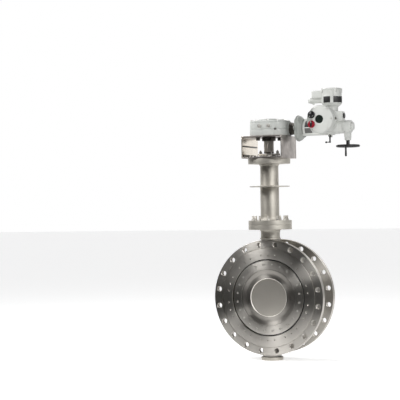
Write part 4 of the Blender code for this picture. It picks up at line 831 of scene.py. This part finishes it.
def build_coupling():
    """Dark coupling with lengthwise ribs under a plain collar."""
    outline = []
    for index in range(SLEEVE_RIBS * 6):
        angle = index * math.tau / (SLEEVE_RIBS * 6)
        wave = 0.5 + 0.5 * math.cos(SLEEVE_RIBS * angle)
        radius = 0.0316 + 0.003 * (wave ** 0.6)
        outline.append((radius * math.cos(angle), STEM_Y + radius * math.sin(angle)))
    sleeve = slab("ribbed_sleeve", outline, 1.017, 1.106, 0.0008, 2)
    cut(sleeve, rod("sleeve bore", 0.0262, 1.00, 1.12, ON_STEM, 0.0, 48))
    dress(sleeve, rib_steel, body=DISC_BODY)
    collar = ring("collar", 0.048, 0.0263, 1.1035, 1.1351, ON_STEM, 0.0025, 72)
    lip = ring("lip", 0.0365, 0.0263, 1.0172, 1.0235, ON_STEM, 0.0012, 72)
    dress(merged("coupling", [collar, lip]), dark_steel, ["drive_coupling"], DISC_BODY)


# Gearbox

def gearbox_outline(inset):
    left = -0.122 + inset
    right = 0.138 - inset
    front = STEM_Y - 0.095 + inset
    back = STEM_Y + 0.122 - inset
    small = 0.05 - inset
    large = 0.09 - inset
    points = arc(left + small, front + small, small, 180, 270, 12)
    points += arc(right - large, front + large, large, 270, 360, 18)
    points += arc(right - small, back - small, small, 0, 90, 12)
    points += arc(left + small, back - small, small, 90, 180, 12)
    return points


def flatten(item, offset, start, end):
    """Cut flats at the front and the back of a round piece on the worm's line."""
    for side in (-1, 1):
        middle = WORM_Y + side * offset
        cut(item, block("flat", (start, middle - 0.022, WORM_Z - 0.12),
                        (end, middle + 0.022, WORM_Z + 0.12), 0.0))


def build_gearbox():
    lower = slab("lower", gearbox_outline(0.0), GEARBOX_BOTTOM + 0.004, GEARBOX_SEAM, 0.0026, 4)
    # The dark foot under the gearbox: partly a dark gasket, partly painted shade under the gearbox
    foot = slab("gearbox_foot", gearbox_outline(0.003), GEARBOX_BOTTOM, GEARBOX_BOTTOM + 0.0045, 0.0)
    dress(foot, dark_steel)
    step = slab("step", gearbox_outline(0.0045), GEARBOX_SEAM - 0.003, GEARBOX_SEAM + 0.003, 0.0)
    upper = slab("upper", gearbox_outline(0.002), GEARBOX_SEAM + 0.0012, GEARBOX_TOP, 0.0026, 4)
    mouth = turned("worm mouth", [
        (0.0, 0.1385), (0.05, 0.1385, 0.003), (0.053, 0.118, 0.003), (0.06, 0.092), (0.0, 0.092),
    ], ON_WORM, 64)
    rear_mouth = turned("worm end", [
        (0.0, -0.1235), (0.033, -0.1235, 0.002), (0.033, -0.108), (0.0, -0.108),
    ], ON_WORM, 48)
    ribs = []
    for angle in (200, 235, 305, 340):
        turn = math.radians(angle)
        x, y = 0.103 * math.cos(turn), 0.08 * math.sin(turn)
        ribs.append(rod("boss", 0.0105, GEARBOX_SEAM - 0.02, GEARBOX_TOP - 0.001,
                        at((x, STEM_Y + y, 0)), 0.0015, 28))
    housing = merged("gearbox", [lower, step, upper, mouth, rear_mouth] + ribs)
    dress(housing, gear_paint, ["gearbox_housing"])

    lid = slab("lid", gearbox_outline(0.003), GEARBOX_TOP + 0.0003, COVER_TOP, 0.003, 4)
    dome = turned("dome", [
        (0.0, DOME_TOP - 0.008), (0.042, DOME_TOP - 0.008, 0.001), (0.0425, DOME_TOP, 0.0015),
        (0.069, DOME_TOP, 0.004), (0.0775, COVER_TOP, 0.003), (0.083, COVER_TOP - 0.002),
        (0.0, COVER_TOP - 0.002),
    ], ON_STEM, 96)
    webs = [block("web", (left, STEM_Y - 0.004, COVER_TOP - 0.003),
                  (right, STEM_Y + 0.004, DOME_TOP - 0.004), 0.0018)
            for left, right in ((-0.105, -0.07), (0.07, 0.118))]
    dress(merged("gearbox_lid", [lid, dome] + webs), gear_paint, ["gearbox_cover"])

    pointer = turned("pointer_disc", [
        (0.0, 1.2609), (0.0105, 1.2609, 0.0008), (0.011, 1.259), (0.03, 1.2582, 0.001),
        (0.03, 1.2506, 0.001), (0.0, 1.2506),
    ], ON_STEM, 64)
    tongue = block("tongue", (-0.004, STEM_Y - 0.04, 1.2506), (0.004, STEM_Y - 0.02, 1.2588),
                   0.0012)
    dress(merged("position_mark", [pointer, tongue]), black_plastic, ["indicator_pointer"],
          DISC_BODY, "dark_steel")

    spots = [(-0.105, -0.06), (-0.06, -0.082), (0.02, -0.082), (0.088, -0.066), (0.122, -0.01),
             (0.118, 0.085), (0.06, 0.108), (-0.02, 0.108), (-0.085, 0.104), (-0.108, 0.02)]
    fasten("lid_screws", cap_screw(0.0068, 0.0062, at((0, 0, COVER_TOP))),
           [(x, STEM_Y + y, 0) for x, y in spots])
    bolt = threaded(0.008, -0.02, 0.006, 0.002, at((0, STEM_Y - 0.095, STOP_Z), Y_AXIS))
    lock = hexagon("lock", 0.0138, 0.009, at((0, STEM_Y - 0.1045, STOP_Z), Y_AXIS))
    fasten("stop_bolts", merged("stop bolt", [bolt, lock]), [(-0.034, 0, 0), (0.034, 0, 0)],
           replaces=["open_stop_bolt", "closed_stop_bolt"], slot="dark_steel")
    dress(hexagon("gearbox_plug", 0.0085, 0.005, at((0.0827, -0.0185, 1.1835), TO_FRONT)),
          dark_steel)

    lathe("worm_neck", [
        (0.0132, 0.1897), (0.044, 0.1897, 0.001), (0.044, 0.182, 0.001), (0.0415, 0.1805),
        (0.0415, 0.156), (0.044, 0.1545, 0.001), (0.044, 0.1383, 0.001), (0.0132, 0.1383),
    ], ON_WORM, 72, dark_steel, ["input_neck"])
    flange = turned("adapter core", [
        (0.0132, 0.204), (0.0895, 0.204, 0.002), (0.092, 0.201, 0.001), (0.092, 0.1935, 0.002),
        (0.086, 0.19, 0.002), (0.06, 0.19, 0.001), (0.0132, 0.19),
    ], ON_WORM, 96)
    pads = [rod("pad", 0.015, 0.188, 0.1915, at(place, X_AXIS), 0.001, 32)
            for place in round_worm(0, 0.07, math.radians(90))]
    flatten(flange, 0.093, 0.18, 0.215)
    dress(merged("adapter_flange", [flange] + pads), drum_paint, ["input_adapter"])
    fasten("adapter_screws", cap_screw(0.0072, 0.0062, TO_LEFT),
           round_worm(0.1882, 0.07, math.radians(90)), dark_steel)


# Actuator

def bite(left, right, edge):
    """Cutter for the side of a disc on the front of the control case."""
    return block("bite", (left, -0.03, 1.1), (right, 0.06, 1.38), edge)


def build_gearcase():
    base = turned("base_flange", [
        (0.0, 0.244), (0.064, 0.244, 0.002), (0.07, 0.234, 0.003), (0.087, 0.215, 0.003),
        (0.088, 0.2044, 0.001), (0.0, 0.2044),
    ], ON_WORM, 96)
    flatten(base, 0.09, 0.19, 0.26)
    dress(base, drum_paint)

    root = rod("base root", 0.0545, 0.242, 0.257, ON_WORM, 0.004, 64)
    drive = rod("drive case", 0.051, 0.24, 0.5, ON_WORM, 0.003, 72)
    control = rod("control barrel", CONTROL_RADIUS, 0.0302, 0.215, ON_CONTROL, 0.003, 96)
    throat = turned("terminal throat", [
        (0.0, 1.3492), (0.067, 1.3492), (0.064, 1.342), (0.044, 1.328), (0.044, 1.25),
        (0.0, 1.25),
    ], ON_TERMINAL, 72)
    collar = rod("end collar", 0.048, 0.427, 0.533, ON_WORM, 0.003, 64)
    switch = block("switch box", (CONTROL_X + 0.05, WORM_Y - 0.06, 1.226),
                   (0.54, WORM_Y + 0.01, 1.294), 0.008)
    seat = rod("handwheel seat", 0.027, 1.1405, WORM_Z, ON_WHEEL, 0.003, 40)
    lug = block("lever lug", (0.427, 0.1223, 1.1165), (0.451, 0.141, 1.168), 0.003)
    sump = rod("sump", 0.04, 1.133, 1.2, at((0.428, WORM_Y, 0)), 0.006, 48)
    foot = block("case foot", (0.235, 0.103, 1.1345), (0.4, 0.183, 1.15), 0.004)
    web = block("case web", (0.235, 0.133, 1.18), (0.33, 0.153, 1.255), 0.004)
    ears = []
    for angle in (50, 128, 228, 312):
        x, z = polar(CONTROL_RADIUS - 0.0075, angle)
        place = at((CONTROL_X + x, 0.0, CONTROL_Z + z), Y_AXIS)
        ears.append(rod("cover ear", 0.0105, 0.0302, 0.07, place, 0.002, 24))
    case = cast("actuator_case", [root, drive, control, throat, collar, switch, seat, lug, sump,
                                  foot, web] + ears, 0.0019)
    dress(case, light_paint, ["actuator_gearcase"])

    lathe("drive_end", [
        (0.0, 0.604), (0.025, 0.604, 0.003), (0.029, 0.599, 0.003), (0.029, 0.5905, 0.001),
        (0.04, 0.59, 0.003), (0.0435, 0.585, 0.003), (0.0435, 0.54, 0.001),
        (0.0495, 0.54, 0.001), (0.0495, 0.534, 0.001), (0.0, 0.534),
    ], ON_WORM, 72, light_paint)
    fasten("end_screws", cap_screw(0.0036, 0.003, X_AXIS, 16),
           round_worm(0.5898, 0.035, math.radians(45)))


def build_control_front():
    cover = turned("front_cover", [
        (0.0, 0.0297), (CONTROL_RADIUS, 0.0297, 0.0012), (CONTROL_RADIUS, 0.016, 0.003),
        (0.09, 0.01, 0.005), (0.045, 0.0077, 0.002), (0.04, 0.0077, 0.001),
        (0.035, 0.009, 0.001), (0.0293, 0.0095), (0.0293, 0.014), (0.0, 0.014),
    ], ON_CONTROL, 96)
    cut(cover, bite(0.2, 0.35, 0.004))
    dress(cover, light_paint, ["control_cover"])
    # Recessed mid grey ring in the joint round the cover: painted shade of the gap
    joint = ring("cover_joint_shade", 0.0962, 0.09, 0.0288, 0.0316, ON_CONTROL, 0.0003, 96)
    cut(joint, bite(0.2, 0.35, 0.001))
    dress(joint, drum_paint)
    lathe("window", [
        (0.0, 0.0137), (0.029, 0.0137), (0.029, 0.0088, 0.001), (0.018, 0.008), (0.0, 0.0077),
    ], ON_CONTROL, 64, window_glass, ["display_window"])
    spots = []
    for angle in (50, 118, 242, 312, 0):
        x, z = polar(0.088, angle)
        spots.append((CONTROL_X + x, 0.0115, CONTROL_Z + z))
    fasten("cover_screws", cap_screw(0.0044, 0.004, TO_FRONT), spots)

    # Mid grey plate in the recess round the knobs: painted shade on the recessed face
    panel = rod("selector_shade_plate", 0.0955, 0.0264, 0.0302, ON_CONTROL, 0.0012, 96)
    cut(panel, bite(0.349, 0.52, 0.001))
    for height in (COMMAND_Z, MODE_Z):
        cut(panel, rod("stem bore", 0.028, 0.000, 0.05, at((SELECTOR_X, 0, height), Y_AXIS), 0.0,
                       40))
    dress(panel, drum_paint)
    # Dark wraps on the drive case: partly blank labels, partly painted shade between the drum and the
    # control barrel
    for name, end, first, last, finish in (("case_plate_shade_upper", 0.302, 104, 176, wheel_black),
                                           ("case_plate_shade_lower", 0.312, 184, 240, plate_shade_grey)):
        wrap = slab(name, bow(0.0, 0.0, 0.0505, 0.0526, first, last, 12), 0.26, end, 0.0006, 2)
        wrap.data.transform(ON_WORM @ Matrix.Rotation(math.radians(90), 4, "Z"))
        dress(wrap, finish)


def build_terminals():
    centre = (TERMINAL_X, WORM_Y)
    housing = turned("terminal box", [
        (0.0, 1.448), (0.0715, 1.448, 0.001), (0.0715, 1.442), (0.07, 1.441),
        (0.07, 1.405, 0.001), (0.0715, 1.404, 0.001), (0.0715, 1.356, 0.003),
        (0.068, 1.35, 0.002), (0.0, 1.35),
    ], ON_TERMINAL, 96)
    side = block("side box", (0.308, WORM_Y - 0.035, 1.392), (0.417, WORM_Y + 0.035, 1.446), 0.006)
    rib = slab("terminal rib", bow(*centre, TERMINAL_RADIUS, 0.0733, -77, -67, 6), 1.358, 1.438,
               0.0008, 2)
    boss = turned("entry boss", [
        (0.0, 0.425), (0.02, 0.425), (0.02, 0.301, 0.001), (0.0215, 0.3, 0.001),
        (0.0215, 0.292, 0.0015), (0.0, 0.292),
    ], at((0, WORM_Y, ENTRY_Z), X_AXIS), 48)
    nub = hexagon("nub", 0.0085, 0.01, at((0.312, WORM_Y, 1.35)))
    box = merged("terminal_case", [housing, side, rib, boss, nub])
    dress(box, light_paint, ["terminal_housing"])
    lid = turned("lid", [
        (0.0, 1.4583), (0.069, 1.4583, 0.003), (0.0735, 1.4545, 0.002), (0.0735, 1.4483),
        (0.0, 1.4483),
    ], ON_TERMINAL, 96)
    spots = [(TERMINAL_X + x, WORM_Y + y, 0) for x, y, _ in on_circle(0.07, 4, math.radians(40))]
    ears = [rod("lid ear", 0.0085, 1.43, 1.457, at(spot), 0.0015, 24) for spot in spots]
    dress(merged("lid_of_terminal", [lid] + ears), light_paint, ["terminal_lid"])
    fasten("lid_of_terminal_screws", cap_screw(0.0042, 0.003, at((0, 0, 1.4565))), spots)
    dress(hexagon("entry_plug", 0.018, 0.017, at((0.2916, WORM_Y, ENTRY_Z), TO_LEFT)), light_paint,
          ["conduit_plug"])

    for name, first, last in (("blank_plate_left", -125, -81), ("blank_plate_right", -63, 5)):
        outline = bow(*centre, TERMINAL_RADIUS, 0.0727, first, last, 10)
        dress(slab(name, outline, 1.356, 1.399, 0.0006, 2), wheel_black)
    blind = ring("blind_ring", 0.008, 0.0055, -0.0735, -0.07, at((*centre, 1.409), Y_AXIS),
                 0.0008, 32)
    about = Matrix.Translation((*centre, 0))
    blind.data.transform(about @ Matrix.Rotation(math.radians(32), 4, "Z") @ about.inverted())
    dress(blind, light_paint)


def build_motor_and_column():
    """The motor and the handwheel column, with a bolt and a cap on the switch box."""
    dress(hexagon("case_bolt", 0.0085, 0.007, at((0.494, 0.07, 1.242), X_AXIS)), dark_steel)
    lathe("switch_cap", [(0.0, 0.548), (0.017, 0.548, 0.002), (0.019, 0.539), (0.0, 0.539)],
          at((0, WORM_Y - 0.025, 1.262), X_AXIS), 40, black_plastic)

    fins = [(0.0, 0.2155), (0.069, 0.2155, 0.001), (0.07, 0.223), (0.066, 0.224)]
    level = 0.224
    for _ in range(FIN_COUNT):
        fins += [(0.066, level + 0.005), (0.07, level + 0.006), (0.07, level + 0.0085),
                 (0.066, level + 0.0095)]
        level += 0.01
    fins += [(0.07, 0.311, 0.001), (0.07, 0.33, 0.006), (0.056, 0.345, 0.004), (0.0, 0.345)]
    lathe("motor", fins, ON_CONTROL, 96, light_paint, ["motor_housing"])
    lathe("wheel_column", [
        (0.0097, 1.1397), (0.0235, 1.1397, 0.001), (0.025, 1.134, 0.002), (0.025, 1.112, 0.002),
        (0.0225, 1.109, 0.001), (0.0225, 1.094, 0.001), (0.021, 1.092), (0.0097, 1.092),
    ], ON_WHEEL, 64, light_paint, ["handwheel_column"])


def build_selector(name, height, node, body, material, sweeps):
    """A knob with its grip, its marks and the ring that it turns in."""
    place = at((SELECTOR_X, 0.0, height), Y_AXIS)
    lathe(name, [
        (0.0, 0.04), (0.0065, 0.04), (0.0065, 0.006), (0.0258, 0.006), (0.0262, 0.004, 0.001),
        (0.0258, -0.001, 0.002), (0.021, -0.003, 0.002), (0.0, -0.003),
    ], place, 64, material, [node], body=body)
    outline = [(x, y - 0.016) for x, y in arc(0.0, 0.0, 0.005, 180, 360, 8)]
    outline += [(0.0075, 0.0), (0.004, 0.0215), (-0.004, 0.0215), (-0.0075, 0.0)]
    grip = slab(name + "_grip", outline, 0.0, 0.0105, 0.0016, 3)
    grip.data.transform(at((SELECTOR_X, -0.013, height), TO_FRONT)
                        @ Matrix.Translation((0, 0, -0.0105)))
    dress(grip, black_plastic, body=body)
    marks = [block("pointer line", (SELECTOR_X - 0.0008, -0.0136, height + 0.006),
                   (SELECTOR_X + 0.0008, -0.0128, height + 0.019), 0.0002, 1)]
    for first in sweeps:
        sweep = slab("sweep", bow(0.0, 0.0, 0.0152, 0.0168, first, first + 45, 8), 0.0028, 0.0034,
                     0.0)
        sweep.data.transform(at((SELECTOR_X, 0.0, height), TO_FRONT))
        marks.append(sweep)
    dress(merged(name + "_marks", marks), light_paint, body=body)
    dress(ring(name + "_bezel", 0.0292, 0.0267, 0.0245, 0.0305, place, 0.0012, 64), light_paint)


def build_handwheel():
    centre = (HANDWHEEL_X, WORM_Y, HANDWHEEL_Z)
    builder = bmesh.new()
    section = bmesh.ops.create_circle(builder, radius=0.0092, segments=20)
    for vertex in section["verts"]:
        across, up = vertex.co.x, vertex.co.y
        vertex.co = Vector((HANDWHEEL_REACH + across, 0.0, up * 0.92))
    spun(builder, builder.verts[:] + builder.edges[:], 96)
    rim = from_builder("rim", builder, Matrix.Translation(centre))
    hub = turned("hub", [
        (0.0, 1.16), (0.009, 1.16), (0.009, 1.0917), (0.0125, 1.0917, 0.001),
        (0.0125, 1.064, 0.002), (0.0185, 1.0585, 0.002), (0.0185, 1.0435, 0.002), (0.0, 1.0435),
    ], ON_WHEEL, 40)
    spokes = []
    for index in range(3):
        turn = Matrix.Rotation(SPINNER_ANGLE + index * math.tau / 3, 4, "Z") @ X_AXIS
        spokes.append(turned("spoke", [
            (0.0, HANDWHEEL_REACH), (0.0056, HANDWHEEL_REACH), (0.0048, 0.044), (0.0062, 0.012),
            (0.0, 0.012),
        ], at(centre, turn), 20))
    dress(merged("hand_wheel", [rim, hub] + spokes), wheel_black, ["handwheel"],
          "handwheel_turning")
    pin_x = HANDWHEEL_X + HANDWHEEL_REACH * math.cos(SPINNER_ANGLE)
    pin_y = WORM_Y + HANDWHEEL_REACH * math.sin(SPINNER_ANGLE)
    top = HANDWHEEL_Z - 0.0091
    bottom = top - 0.066
    lathe("spinner_grip", [
        (0.0, bottom), (0.004, bottom, 0.001), (0.0066, bottom + 0.004, 0.003),
        (0.007, bottom + 0.02), (0.006, bottom + 0.045), (0.0066, top - 0.006, 0.002),
        (0.005, top, 0.001), (0.0036, top), (0.0036, bottom + 0.005), (0.0, bottom + 0.005),
    ], at((pin_x, pin_y, 0)), 32, wheel_black, ["spinner_handle"], body="spinner_turning")


def build_lever():
    pivot = at((LEVER_X, 0.0, LEVER_Z), Y_AXIS)
    hub = turned("lever hub", [
        (0.0045, 0.104, 0.0), (0.009, 0.104, 0.001), (0.009, 0.122, 0.001), (0.0045, 0.122, 0.0),
    ], pivot, 40)
    arm = turned("arm", [
        (0.0, 1.12), (0.0062, 1.12), (0.0052, 1.095), (0.006, 1.078, 0.002), (0.0, 1.0765),
    ], at((LEVER_X, LEVER_Y, 0)), 24)
    bar = turned("bar", [(0.0, 0.0), (0.0036, 0.0), (0.0032, -0.02), (0.0, -0.02)],
                 at((LEVER_X, LEVER_Y, 1.082), X_AXIS), 20)
    half_round = []
    for step in range(13):
        angle = step * math.pi / 12
        half_round.append((LEVER_BALL_RADIUS * math.sin(angle), -LEVER_BALL_RADIUS * math.cos(angle)))
    ball = turned("ball", half_round, at((0.411, LEVER_Y, 1.082), X_AXIS), 24)
    dress(merged("hand_lever", [hub, arm, bar, ball]), wheel_black, ["declutch_lever"],
          "changeover_lever")
    dress(rod("lever_axle", 0.0039, 0.101, 0.129, pivot, 0.0008, 24), bolt_steel)


def build_disc():
    lathe("disc_plate", [
        (0.1362, 0.02), (0.1362, 0.0104, 0.0006), (0.14, 0.0104, 0.002), (0.156, 0.0126, 0.006),
        (0.169, 0.0122, 0.006), (0.1935, 0.005, 0.003), (0.201, 0.0045, 0.0008),
        (0.201, 0.028), (0.262, 0.028, 0.0008), (0.262, 0.04, 0.002), (0.252, 0.046, 0.003),
        (0.1362, 0.046),
    ], ON_BORE, 160, disc_steel, ["disc"], body=DISC_BODY)
    lathe("disc_middle", [
        (0.0, 0.0154), (0.1309, 0.0154, 0.0004), (0.1312, 0.016), (0.1312, 0.0459), (0.0, 0.0459),
    ], ON_BORE, 160, face_steel, body=DISC_BODY)
    # The pale rim steel paints a highlight round the edge of the dish
    lathe("dish_rim", [
        (0.1314, 0.03), (0.1314, 0.0152, 0.0006), (0.1352, 0.01, 0.001), (0.136, 0.0106),
        (0.136, 0.03),
    ], ON_BORE, 160, rim_highlight_steel, body=DISC_BODY)
    back = []
    for side in (-1, 1):
        low, high = sorted((side * 0.05, side * 0.232))
        hub = ring("hub", 0.056, 0.0353, low, high, ON_STEM, 0.003, 64)
        cut(hub, block("hub front", (-0.1, -0.1, low - 0.01), (0.1, 0.032, high + 0.01), 0.001))
        low, high = sorted((side * 0.056, side * 0.226))
        foot = block("hub foot", (-0.056, 0.04, low), (0.056, 0.068, high), 0.006)
        cut(foot, rod("hub bore", 0.0353, -0.3, 0.3, ON_STEM, 0.0, 48))
        back += [hub, foot]
    for x in (-0.125, 0.125):
        back.append(block("rib", (x - 0.007, 0.04, -0.185), (x + 0.007, 0.066, 0.185), 0.003))
    dress(merged("disc_hubs", back), cast_steel, body=DISC_BODY)

    keeper = turned("keeper_ring", [
        (0.2605, 0.0192), (0.2605, 0.004, 0.0012), (0.2018, 0.004, 0.001), (0.2018, 0.0192),
    ], ON_BORE, 160)
    seat = turned("seat", [(0.0, 0.0105), (0.008, 0.0105), (0.008, 0.003), (0.0, 0.003)], ON_BORE,
                  20)
    places = round_bore(KEEPER_SCREW_CIRCLE, KEEPER_SCREW_COUNT, math.radians(7.5))
    cut(keeper, repeated("seats", seat, places))
    dress(keeper, flange_steel, ["seal_retaining_ring"], DISC_BODY)
    fasten("keeper_screws", cap_screw(0.0068, 0.0058, at((0, 0.0106, 0), TO_FRONT)), places,
           body=DISC_BODY)


build_body()
build_bonnet()
build_gland()
build_bracket()
build_coupling()
build_gearbox()
build_gearcase()
build_control_front()
build_terminals()
build_motor_and_column()
build_selector("black_knob", COMMAND_Z, "command_selector", "command_knob", black_plastic,
               (100, 200, 300))
build_selector("red_knob", MODE_Z, "mode_selector", "mode_knob", red_plastic, ())
build_handwheel()
build_lever()
build_disc()


# Floor, light and camera

FRONT_AIM = (0.0, 0.0, 0.4)
KEY_PLACE = (-3.2, -2.6, 4.4)
SCREEN_RADIUS = 9.5
SCREEN_TOP = 7.0
SCREEN_STEPS = 24
DARK = 0.03
DIM = 0.22
LENS = 117.4
SENSOR_WIDTH = 36.0
CAMERA_DISTANCE = 9.175
CAMERA_BEARING = math.radians(21.26)
CAMERA_HEIGHT = 0.609
CAMERA_YAW = math.radians(24.17)
CAMERA_PITCH = math.radians(0.53)
CAMERA_ROLL = math.radians(-0.91)


def seen_directly(tree):
    """1 for what the camera, a reflection or a clear piece sees, 0 for light that falls on things."""
    path = add(tree, "ShaderNodeLightPath").outputs
    either = maths(tree, "MAXIMUM", path["Is Camera Ray"], path["Is Glossy Ray"])
    return maths(tree, "MAXIMUM", either, path["Is Transmission Ray"])


def pale_floor():
    builder = bmesh.new()
    bmesh.ops.create_grid(builder, x_segments=1, y_segments=1, size=60.0)
    floor = from_builder("floor", builder, Matrix.Translation((0, 0, cad_low.z - 0.0005)))
    material, tree, shader = start_material("pale floor")
    shade = blend_colour(tree, noise(tree, object_coords(tree), 0.8, 2.0), (0.86, 0.86, 0.855),
                         (0.88, 0.88, 0.875))
    feed(tree, shader, {"Base Color": shade, "Roughness": 0.75, "Specular IOR Level": 0.2})
    lift = add(tree, "ShaderNodeEmission", {
        "Color": (1.0, 1.0, 1.0, 1.0),
        "Strength": ranged(tree, seen_directly(tree), 0.0, 1.0, 0.0, 0.55),
    })
    total = add(tree, "ShaderNodeAddShader", {0: shader.outputs[0], 1: lift.outputs[0]})
    feed(tree, tree.nodes["Material Output"], {"Surface": total.outputs[0]})
    floor.data.materials.append(material)


def light_world():
    world = bpy.data.worlds.new("studio")
    bpy.context.scene.world = world
    world.use_nodes = True
    tree = world.node_tree
    colour = blend_colour(tree, seen_directly(tree), (0.32, 0.32, 0.325), (1.0, 1.0, 1.0))
    feed(tree, tree.nodes["Background"], {"Color": colour, "Strength": 1.0})


def softbox(name, place, target, width, height, power, matt=True, shine=True):
    """A lamp that may be left out of the light on matt things or out of reflections."""
    lamp = bpy.data.lights.new(name, "AREA")
    lamp.shape = "RECTANGLE"
    lamp.size = width
    lamp.size_y = height
    lamp.energy = power
    item = link(name, lamp)
    item.location = place
    away = Vector(place) - Vector(target)
    item.rotation_euler = away.to_track_quat("Z", "Y").to_euler()
    item.visible_diffuse = matt
    item.visible_glossy = shine


def dark_screen(name, first, last, bottom, top, shade, inner=SCREEN_RADIUS):
    """A dark cloth round the set, out of the camera's sight, for metal to reflect."""
    builder = bmesh.new()
    rows = []
    for index in range(SCREEN_STEPS + 1):
        angle = math.radians(first + (last - first) * index / SCREEN_STEPS)
        across, along = math.sin(angle), -math.cos(angle)
        rows.append([builder.verts.new((reach * across, reach * along, height))
                     for reach, height in ((inner, bottom), (SCREEN_RADIUS, top))])
    for left, right in zip(rows, rows[1:]):
        builder.faces.new((left[0], right[0], right[1], left[1]))
    screen = from_builder(name, builder)
    material, tree, shader = start_material(name)
    folds = noise(tree, object_coords(tree), 1.2, 2.0)
    light = shade * 1.3
    colour = blend_colour(tree, folds, (shade, shade, shade), (light, light, light))
    feed(tree, shader, {"Base Color": colour, "Roughness": 0.9, "Specular IOR Level": 0.1})
    screen.data.materials.append(material)
    screen.visible_camera = False
    screen.visible_diffuse = False
    screen.visible_shadow = False
    screen.visible_transmission = False


def aim_camera():
    lens = bpy.data.cameras.new("camera")
    lens.lens = LENS
    lens.sensor_width = SENSOR_WIDTH
    camera = link("camera", lens)
    place = Vector((CAMERA_DISTANCE * math.sin(CAMERA_BEARING),
                    -CAMERA_DISTANCE * math.cos(CAMERA_BEARING), CAMERA_HEIGHT))
    yaw, pitch, roll = CAMERA_YAW, CAMERA_PITCH, CAMERA_ROLL
    ahead = Vector((-math.sin(yaw) * math.cos(pitch), math.cos(yaw) * math.cos(pitch),
                    math.sin(pitch)))
    right = Vector((math.cos(yaw), math.sin(yaw), 0.0))
    up = right.cross(ahead)
    rolled_right = math.cos(roll) * right + math.sin(roll) * up
    rolled_up = rolled_right.cross(ahead)
    turn = Matrix((rolled_right, rolled_up, -ahead)).transposed()
    camera.matrix_world = at(place, turn.to_4x4())
    bpy.context.scene.camera = camera


pale_floor()
light_world()
softbox("key light", KEY_PLACE, FRONT_AIM, 1.45, 2.8, 150.0)
softbox("streak light", KEY_PLACE, FRONT_AIM, 1.4, 2.6, 75.0, matt=False)
softbox("side light", (3.6, -2.45, 3.1), (0.0, 0.0, 0.5), 0.5, 2.4, 150.0, matt=False)
softbox("fill light", (-0.2, -7.5, 1.6), (0.0, 0.0, 0.6), 3.0, 3.0, 205.0, shine=False)
softbox("right fill", (6.0, -1.0, 1.4), (0.5, 0.1, 1.2), 1.8, 1.8, 80.0, shine=False)
softbox("top light", (-2.4, 1.6, 4.8), FRONT_AIM, 2.0, 2.0, 80.0)
dark_screen("front_screen", -30, 50, cad_low.z, SCREEN_TOP, DARK)
dark_screen("left_screen", -95, -30, cad_low.z, SCREEN_TOP, DIM)
dark_screen("right_screen", 100, 145, cad_low.z, SCREEN_TOP, DIM)
dark_screen("front_cloth", -95, 60, cad_low.z, cad_low.z + 0.002, DARK, 1.2)
dark_screen("ceiling_cloth", -110, 110, SCREEN_TOP, SCREEN_TOP + 0.002, DARK, 0.2)
aim_camera()
bpy.context.scene.view_settings.view_transform = "Standard"
